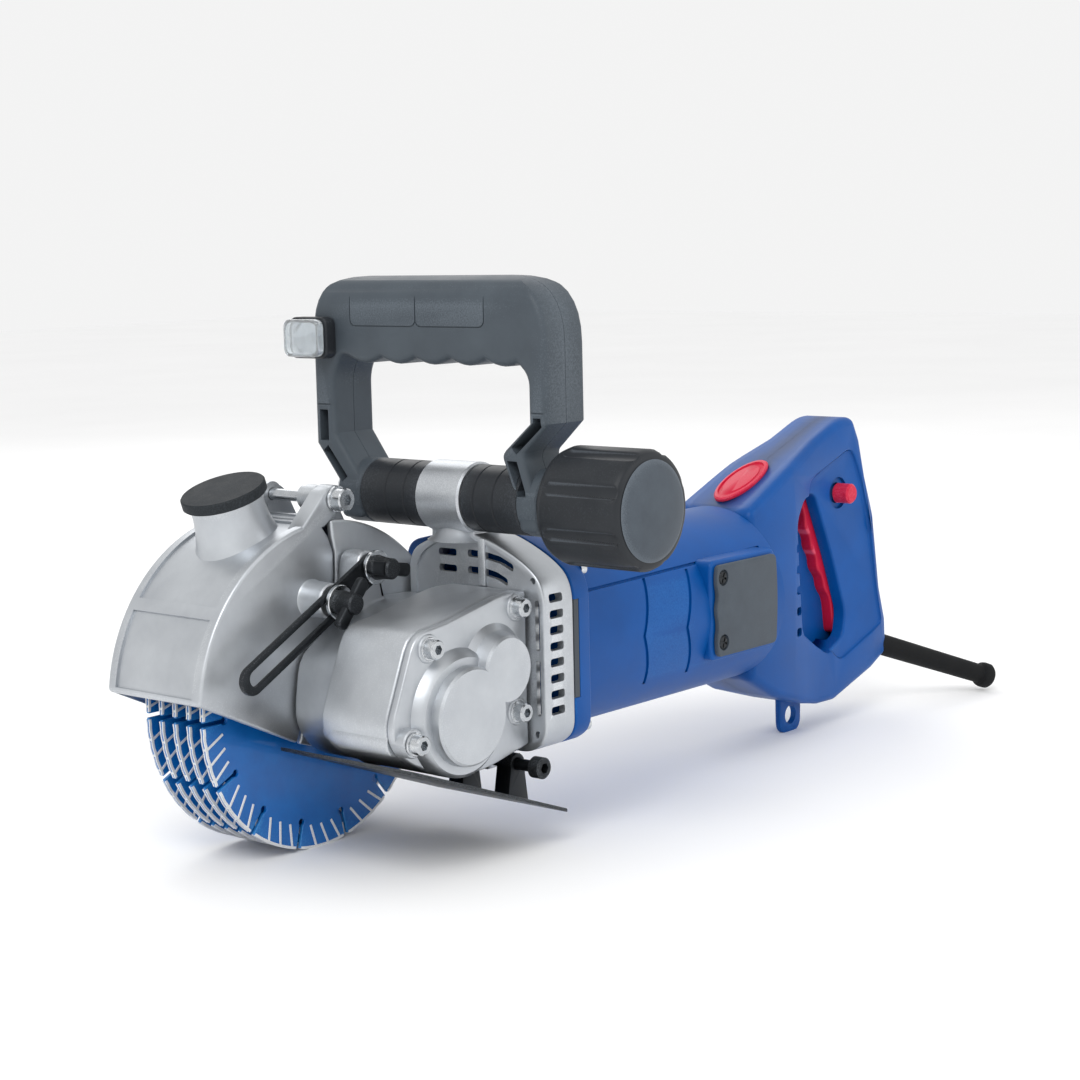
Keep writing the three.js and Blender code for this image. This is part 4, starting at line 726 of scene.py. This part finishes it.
def make_front_handle():
    px, pz = PIVOT
    top = pz + 114
    under = top - 42
    knee = pz + 25
    foot = pz - 2
    loop = outlined([(-121, top, 34), (41, top, 30), (41, knee), (24, foot + 6),
                     (24, foot - 12), (8, foot - 12), (8, foot + 8), (27, knee + 6),
                     (27, under - 10, 6), (21, under + 1, 6)]
                    + grip_underside(-105, 15, under)
                    + [(-109, under - 8, 5), (-109, knee + 16), (-90, knee), (-101, foot),
                       (-101, foot - 12), (-114, foot - 12), (-114, foot), (-104, knee),
                       (-121, knee + 16)], 0, 8)
    body = soften(prism(loop, "X", px - 16, px + 16), 3.6, 60, 4)
    crown = outlined([(px - 16, pz - 50), (px + 16, pz - 50), (px + 16, top, 15), (px - 16, top, 15)])
    body = carved(body, prism(crown, "Y", -140, 60), how="INTERSECT")
    body = carved(body, rod(SLEEVE_RADIUS + 0.3, "Y", -101, 8, PIVOT, 64))
    rings = [rod(SLEEVE_RADIUS, "Y", 8, 24, PIVOT, 64, 0.8), rod(SLEEVE_RADIUS, "Y", -114, -101, PIVOT, 64, 0.8)]
    rings = [carved(ring, block((px - 17, px + 17), (-140, 60), (pz - 40, pz + 40)), how="INTERSECT")
             for ring in rings]
    body = carved(body, *rings, how="UNION")
    body = carved(body, rod(6.3, "Y", -130, 40, PIVOT), rod(11.5, "Y", 24, 60, PIVOT))
    seams = []
    for low, high in ((-82, -35), (-35, 12)):
        frame_line = carved(prism(lozenge(23.7, 13, ((low + high) / 2, top - 13), 4), "X", px - 17, px - 15.4),
                            prism(lozenge(23.1, 12.4, ((low + high) / 2, top - 13), 4), "X", px - 18, px - 15))
        seams.append(frame_line)
    body = carved(body, *seams)
    pockets = [
        [(36.8, 145.5), (30.6, 145.5), (30.6, 129), (36.8, 129)],
        [(35.2, 123.4), (31.4, 126.6), (17.6, 110.4), (21.4, 107.2)],
        [(-117.6, 146), (-117.6, 141.6), (-101.2, 127.4), (-98, 131), (-112.6, 143.8), (-112.6, 146)],
        [(-101.5, 124), (-95, 124), (-102, 106.5), (-107.5, 106.5)],
    ]
    body = carved(body, *[prism(pocket, "X", px - 20, px - 5) for pocket in pockets])
    line = [prism([(41.6, 148), (26, 148), (26, 148.8), (41.6, 148.8)], "X", px - 17, px - 15.4),
            prism([(-108, 148), (-121.6, 148), (-121.6, 148.8), (-108, 148.8)], "X", px - 17, px - 15.4)]
    body = carved(body, *line)
    for name, xs in (("front", (px - 40, px - 0.15)), ("rear", (px + 0.15, px + 40))):
        half = carved(body.copy(), block(xs, (-140, 60), (pz - 60, top + 20)), how="INTERSECT")
        piece(f"loop_handle_half_{name}", half, "front_handle", GREY_NYLON,
              [f"loop_handle_{name}"])
    body.free()

    for name, start, end in (("near", -100.7, -63.3), ("far", -32.7, 7.7)):
        tip = end if name == "near" else start
        inward = -1 if name == "near" else 1
        grooves = sorted(tip + inward * d for d in (9, 22))
        profile = [(6.3, start), (SLEEVE_RADIUS - 0.8, start), (SLEEVE_RADIUS, start + 0.8)]
        for g in grooves:
            profile += [(SLEEVE_RADIUS, g - 0.6), (SLEEVE_RADIUS - 0.7, g), (SLEEVE_RADIUS, g + 0.6)]
        profile += [(SLEEVE_RADIUS, end - 0.8), (SLEEVE_RADIUS - 0.8, end), (6.3, end), (6.3, start)]
        piece(f"pivot_sleeve_{name}", turned(profile, "Y", PIVOT, 72), "front_handle",
              BLACK_NYLON, [f"sleeve_{name}"])

    blank = turned([(6.3, -173.6), (26, -173.6), (28.6, -172.6), (30, -170), (30, -128), (28.6, -124.4),
                    (25, -121.6), (16, -120.4), (15, -119.6), (15, -114.3), (6.3, -114.3), (6.3, -173.6)],
                   "Y", PIVOT, 96)
    flutes = []
    for i in range(8):
        a = math.radians(45 * i + 22.5)
        at = (px + 34.6 * math.cos(a), pz + 34.6 * math.sin(a))
        flutes.append(turned([(0, -180), (6.4, -180), (6.4, -132), (4.8, -127), (0, -124)], "Y", at, 32))
    knob = soften(carved(blank, *flutes), 0.7, 40, 2)
    piece("knob_body", knob, "knob", BLACK_NYLON, ["clamp_knob"])
    dome = turned([(0, -173.4), (24.5, -173.4), (25.2, -174), (22, -175.6), (15, -177.2), (7, -178.1),
                   (0, -178.3)], "Y", PIVOT, 72)
    piece("knob_dome", dome, "knob", SATIN_NYLON)

    lamp = (36.5, pz + 82)
    shell = soften(prism(lozenge(14, 11, lamp, 5), "X", 38.7, 45.7), 1, 50, 3)
    shell = carved(shell, prism(lozenge(11.6, 8.6, lamp, 4), "X", 36, 43))
    piece("lamp_shell", shell, "front_handle", BLACK_NYLON, ["lamp_housing"])
    bowl = carved(prism(lozenge(11.4, 8.4, lamp, 4), "X", 38.8, 42.8),
                  turned([(0, 37), (10, 37), (8.4, 40), (5, 41.8), (2.4, 42.2), (2, 40.5), (0, 40.5)], "X", lamp, 40))
    piece("lamp_reflector", bowl, "front_handle", REFLECTOR)
    lens = soften(prism(lozenge(13, 10, lamp, 5), "X", 32.7, 38.4), 1.4, 50, 3)
    lens = carved(lens, prism(lozenge(11.2, 8.2, lamp, 4), "X", 34.4, 39))
    piece("lamp_cover_lens", lens, "front_handle", LENS, ["lamp_lens"])


# ---------------------------------------------------------------- blades
def blade_outline():
    """A rim cut into segments by slots that end in round keyholes."""
    points = []
    step = 360 / BLADE_SEGMENTS
    half = math.degrees(1.1 / BLADE_RADIUS)
    hole = 2.0
    for i in range(BLADE_SEGMENTS):
        start, end = i * step + half, (i + 1) * step - half
        points += arc(BLADE_RADIUS, start, end, (0, 0), 8)
        at = math.radians((i + 1) * step)
        deep = BLADE_RADIUS - 13.5
        hub = Vector((deep * math.cos(at), deep * math.sin(at)))
        side = math.degrees(math.asin(1.1 / hole))
        face = math.degrees(at)
        points += [hub + Vector((hole * math.cos(math.radians(t)), hole * math.sin(math.radians(t))))
                   for t in [face - side - k * (360 - 2 * side) / 8 for k in range(9)]]
    return points


def make_blades():
    step = 360 / BLADE_SEGMENTS
    for i in range(5):
        centre = i * BLADE_PITCH
        plate = prism(blade_outline(), "Y", centre - BLADE_HALF + 0.2, centre + BLADE_HALF - 0.2)
        plate = carved(plate, rod(11.1, "Y", centre - 3, centre + 3, (0, 0)))
        piece(f"blade_plate_{i + 1}", soften(plate, 0.25, 60, 1), "spindle", BLADE_BLUE,
              [f"blade_{i + 1}"])
        stripes = []
        for k in range(BLADE_SEGMENTS):
            for share in (0.3, 0.55, 0.8):
                bar = soften(block((65.5, 78.6), (centre - 1.35, centre + 1.35), (-0.7, 0.7)), 0.2, 40, 1)
                slant = Matrix.Translation((72, 0, 0)) @ Matrix.Rotation(math.radians(-22), 4, "Y") \
                    @ Matrix.Translation((-72, 0, 0))
                turn = Matrix.Rotation(math.radians(-(k + share) * step), 4, "Y")
                stripes.append(shifted(bar, turn @ slant))
            stripes += [rim_ribbon(centre, side, k * step + 1.4, (k + 1) * step - 1.4)
                        for side in (-1, 1)]
        piece(f"blade_diamond_{i + 1}", joined(*stripes), "spindle", DIAMOND)


def rim_ribbon(centre, side, start, end):
    """A wavy bead of grit along one edge of a segment's rim."""
    bm = bmesh.new()
    ring = [bm.verts.new((r, y, 0)) for r, y in ((77, -0.3), (78.4, -0.3), (78.4, 0.3), (77, 0.3))]
    bm.faces.new(ring)
    bmesh.ops.rotate(bm, verts=bm.verts, cent=(0, 0, 0), matrix=Matrix.Rotation(math.radians(-start), 3, "Y"))
    bmesh.ops.spin(bm, geom=bm.verts[:] + bm.edges[:] + bm.faces[:], cent=(0, 0, 0), axis=(0, 1, 0),
                   dvec=(0, 0, 0), angle=math.radians(start - end), steps=14, use_merge=False)
    for vert in bm.verts:
        angle = math.degrees(math.atan2(vert.co.z, vert.co.x)) % 360
        vert.co.y += centre + side * (0.9 + 0.22 * math.sin(math.radians(angle) * 56 + side))
    bmesh.ops.recalc_face_normals(bm, faces=bm.faces)
    return bm


# ---------------------------------------------------------------- depth arm, wing bolts, sole
def make_depth_arm():
    angle = math.atan2(LOWER_STUD[1] - UPPER_STUD[1], LOWER_STUD[0] - UPPER_STUD[0])
    bar = prism(arc(7.5, 90, 270, (0, 0), 16) + arc(7.5, -90, 90, (96, 0), 16), "Y", *ARM_Y)
    slot = prism(arc(4.2, 90, 270, (24, 0), 12) + arc(4.2, -90, 90, (94, 0), 12), "Y", -40, -20)
    bar = soften(carved(bar, slot, rod(2.8, "Y", -40, -20, (0, 0), 24)), 0.5, 40)
    place = Matrix.Translation((*UPPER_STUD[:1], 0, UPPER_STUD[1])) @ Matrix.Rotation(-angle, 4, "Y")
    piece("slotted_depth_arm", shifted(bar, place), "depth_arm", BLACK_STEEL, ["depth_arm"])

    for name, at, end, lean in (("upper", UPPER_STUD, -18.3, 10), ("lower", LOWER_STUD, -18, -50)):
        seat = -32.8
        stem = turned([(0, seat - 13.6), (4.6, seat - 13.6), (5.4, seat - 12.6), (5.6, seat - 7),
                       (6.5, seat - 2.4), (2.5, seat - 2.4), (2.5, end), (0, end)], "Y", at, 40)
        wing = outlined([(-14.6, 3.6, 3), (-14.2, -3.6, 3), (-4, -3.4, 2), (0, -4), (4, -3.4, 2),
                         (14.2, -3.6, 3), (14.6, 3.6, 3), (4, 3.4, 2), (0, 4), (-4, 3.4, 2)])
        blades = soften(prism(wing, "Y", seat - 12, seat - 7.5), 1.2, 50, 3)
        spin = Matrix.Translation((at[0], 0, at[1])) @ Matrix.Rotation(math.radians(lean), 4, "Y")
        bolt = carved(stem, shifted(blades, spin), how="UNION")
        piece(f"wing_bolt_body_{name}", bolt, f"{name}_wing_bolt", BLACK_STEEL,
              [f"wing_bolt_{name}"])
        washer = turned([(2.7, seat - 2.3), (8.4, seat - 2.3), (8.8, seat - 1.9), (8.8, seat - 0.4),
                         (8.4, seat), (2.7, seat), (2.7, seat - 2.3)], "Y", at, 48)
        piece(f"wing_bolt_washer_{name}", washer, f"{name}_wing_bolt", ZINC)


def make_sole():
    piece("sole_shoe", soften(cad_copy("sole_plate"), 0.5, 35, 2), "sole", BLACK_STEEL,
          ["sole_plate"])


make_guard_cover()
make_rear_guard()
make_screws()
make_gear_case()
make_gear_cover()
make_fan_housing()
make_motor()
make_brush_covers()
make_rear_handle()
make_front_handle()
make_blades()
make_depth_arm()
make_sole()


# ---------------------------------------------------------------- studio
def make_studio():
    floor_mesh = bpy.data.meshes.new("floor")
    bm = bmesh.new()
    bmesh.ops.create_grid(bm, x_segments=1, y_segments=1, size=6)
    bm.to_mesh(floor_mesh)
    bm.free()
    floor = bpy.data.objects.new("floor", floor_mesh)
    bpy.context.scene.collection.objects.link(floor)
    floor_mesh.materials.append(finish("matt_white_paper", "#FFFFFF", "#FCFCFC", "#FFFFFF", 400, 1.0,
                                       0.01, (0.8, 0.9)))

    world = bpy.data.worlds.new("studio")
    bpy.context.scene.world = world
    world.use_nodes = True
    backdrop = next(n for n in world.node_tree.nodes if n.type == "BACKGROUND")
    backdrop.inputs["Color"].default_value = linear("#FFFFFF")
    backdrop.inputs["Strength"].default_value = 0.9

    bpy.context.scene.view_settings.view_transform = "Standard"
    middle = (CAD_LOW + CAD_HIGH) / 2
    softboxes = [
        ("key", (-1.4, -0.7, 1.4), 1.0, 16),
        ("side", (0.8, -1.7, 0.7), 0.8, 4),
        ("back", (0.9, 1.4, 1.3), 1.2, 7),
    ]
    for name, offset, size, power in softboxes:
        data = bpy.data.lights.new(name, "AREA")
        data.shape = "SQUARE"
        data.size = size
        data.energy = power
        lamp = bpy.data.objects.new(name, data)
        bpy.context.scene.collection.objects.link(lamp)
        lamp.location = middle + Vector(offset)
        lamp.rotation_mode = "QUATERNION"
        lamp.rotation_quaternion = (-Vector(offset)).to_track_quat("-Z", "Y")


def make_camera():
    data = bpy.data.cameras.new("camera")
    data.sensor_width = 36
    data.lens = 73.8
    data.clip_start = 0.05
    data.clip_end = 50
    camera = bpy.data.objects.new("camera", data)
    bpy.context.scene.collection.objects.link(camera)
    right = Vector((0.6428, -0.7657, -0.0223))
    up = Vector((0.1192, 0.0713, 0.9903))
    back = right.cross(up)
    turn = Matrix((right, up, back)).transposed().to_4x4()
    camera.matrix_world = Matrix.Translation(PLACE @ Vector((-784.6, -817.3, 236.2))) @ turn
    bpy.context.scene.camera = camera


make_camera()
make_studio()
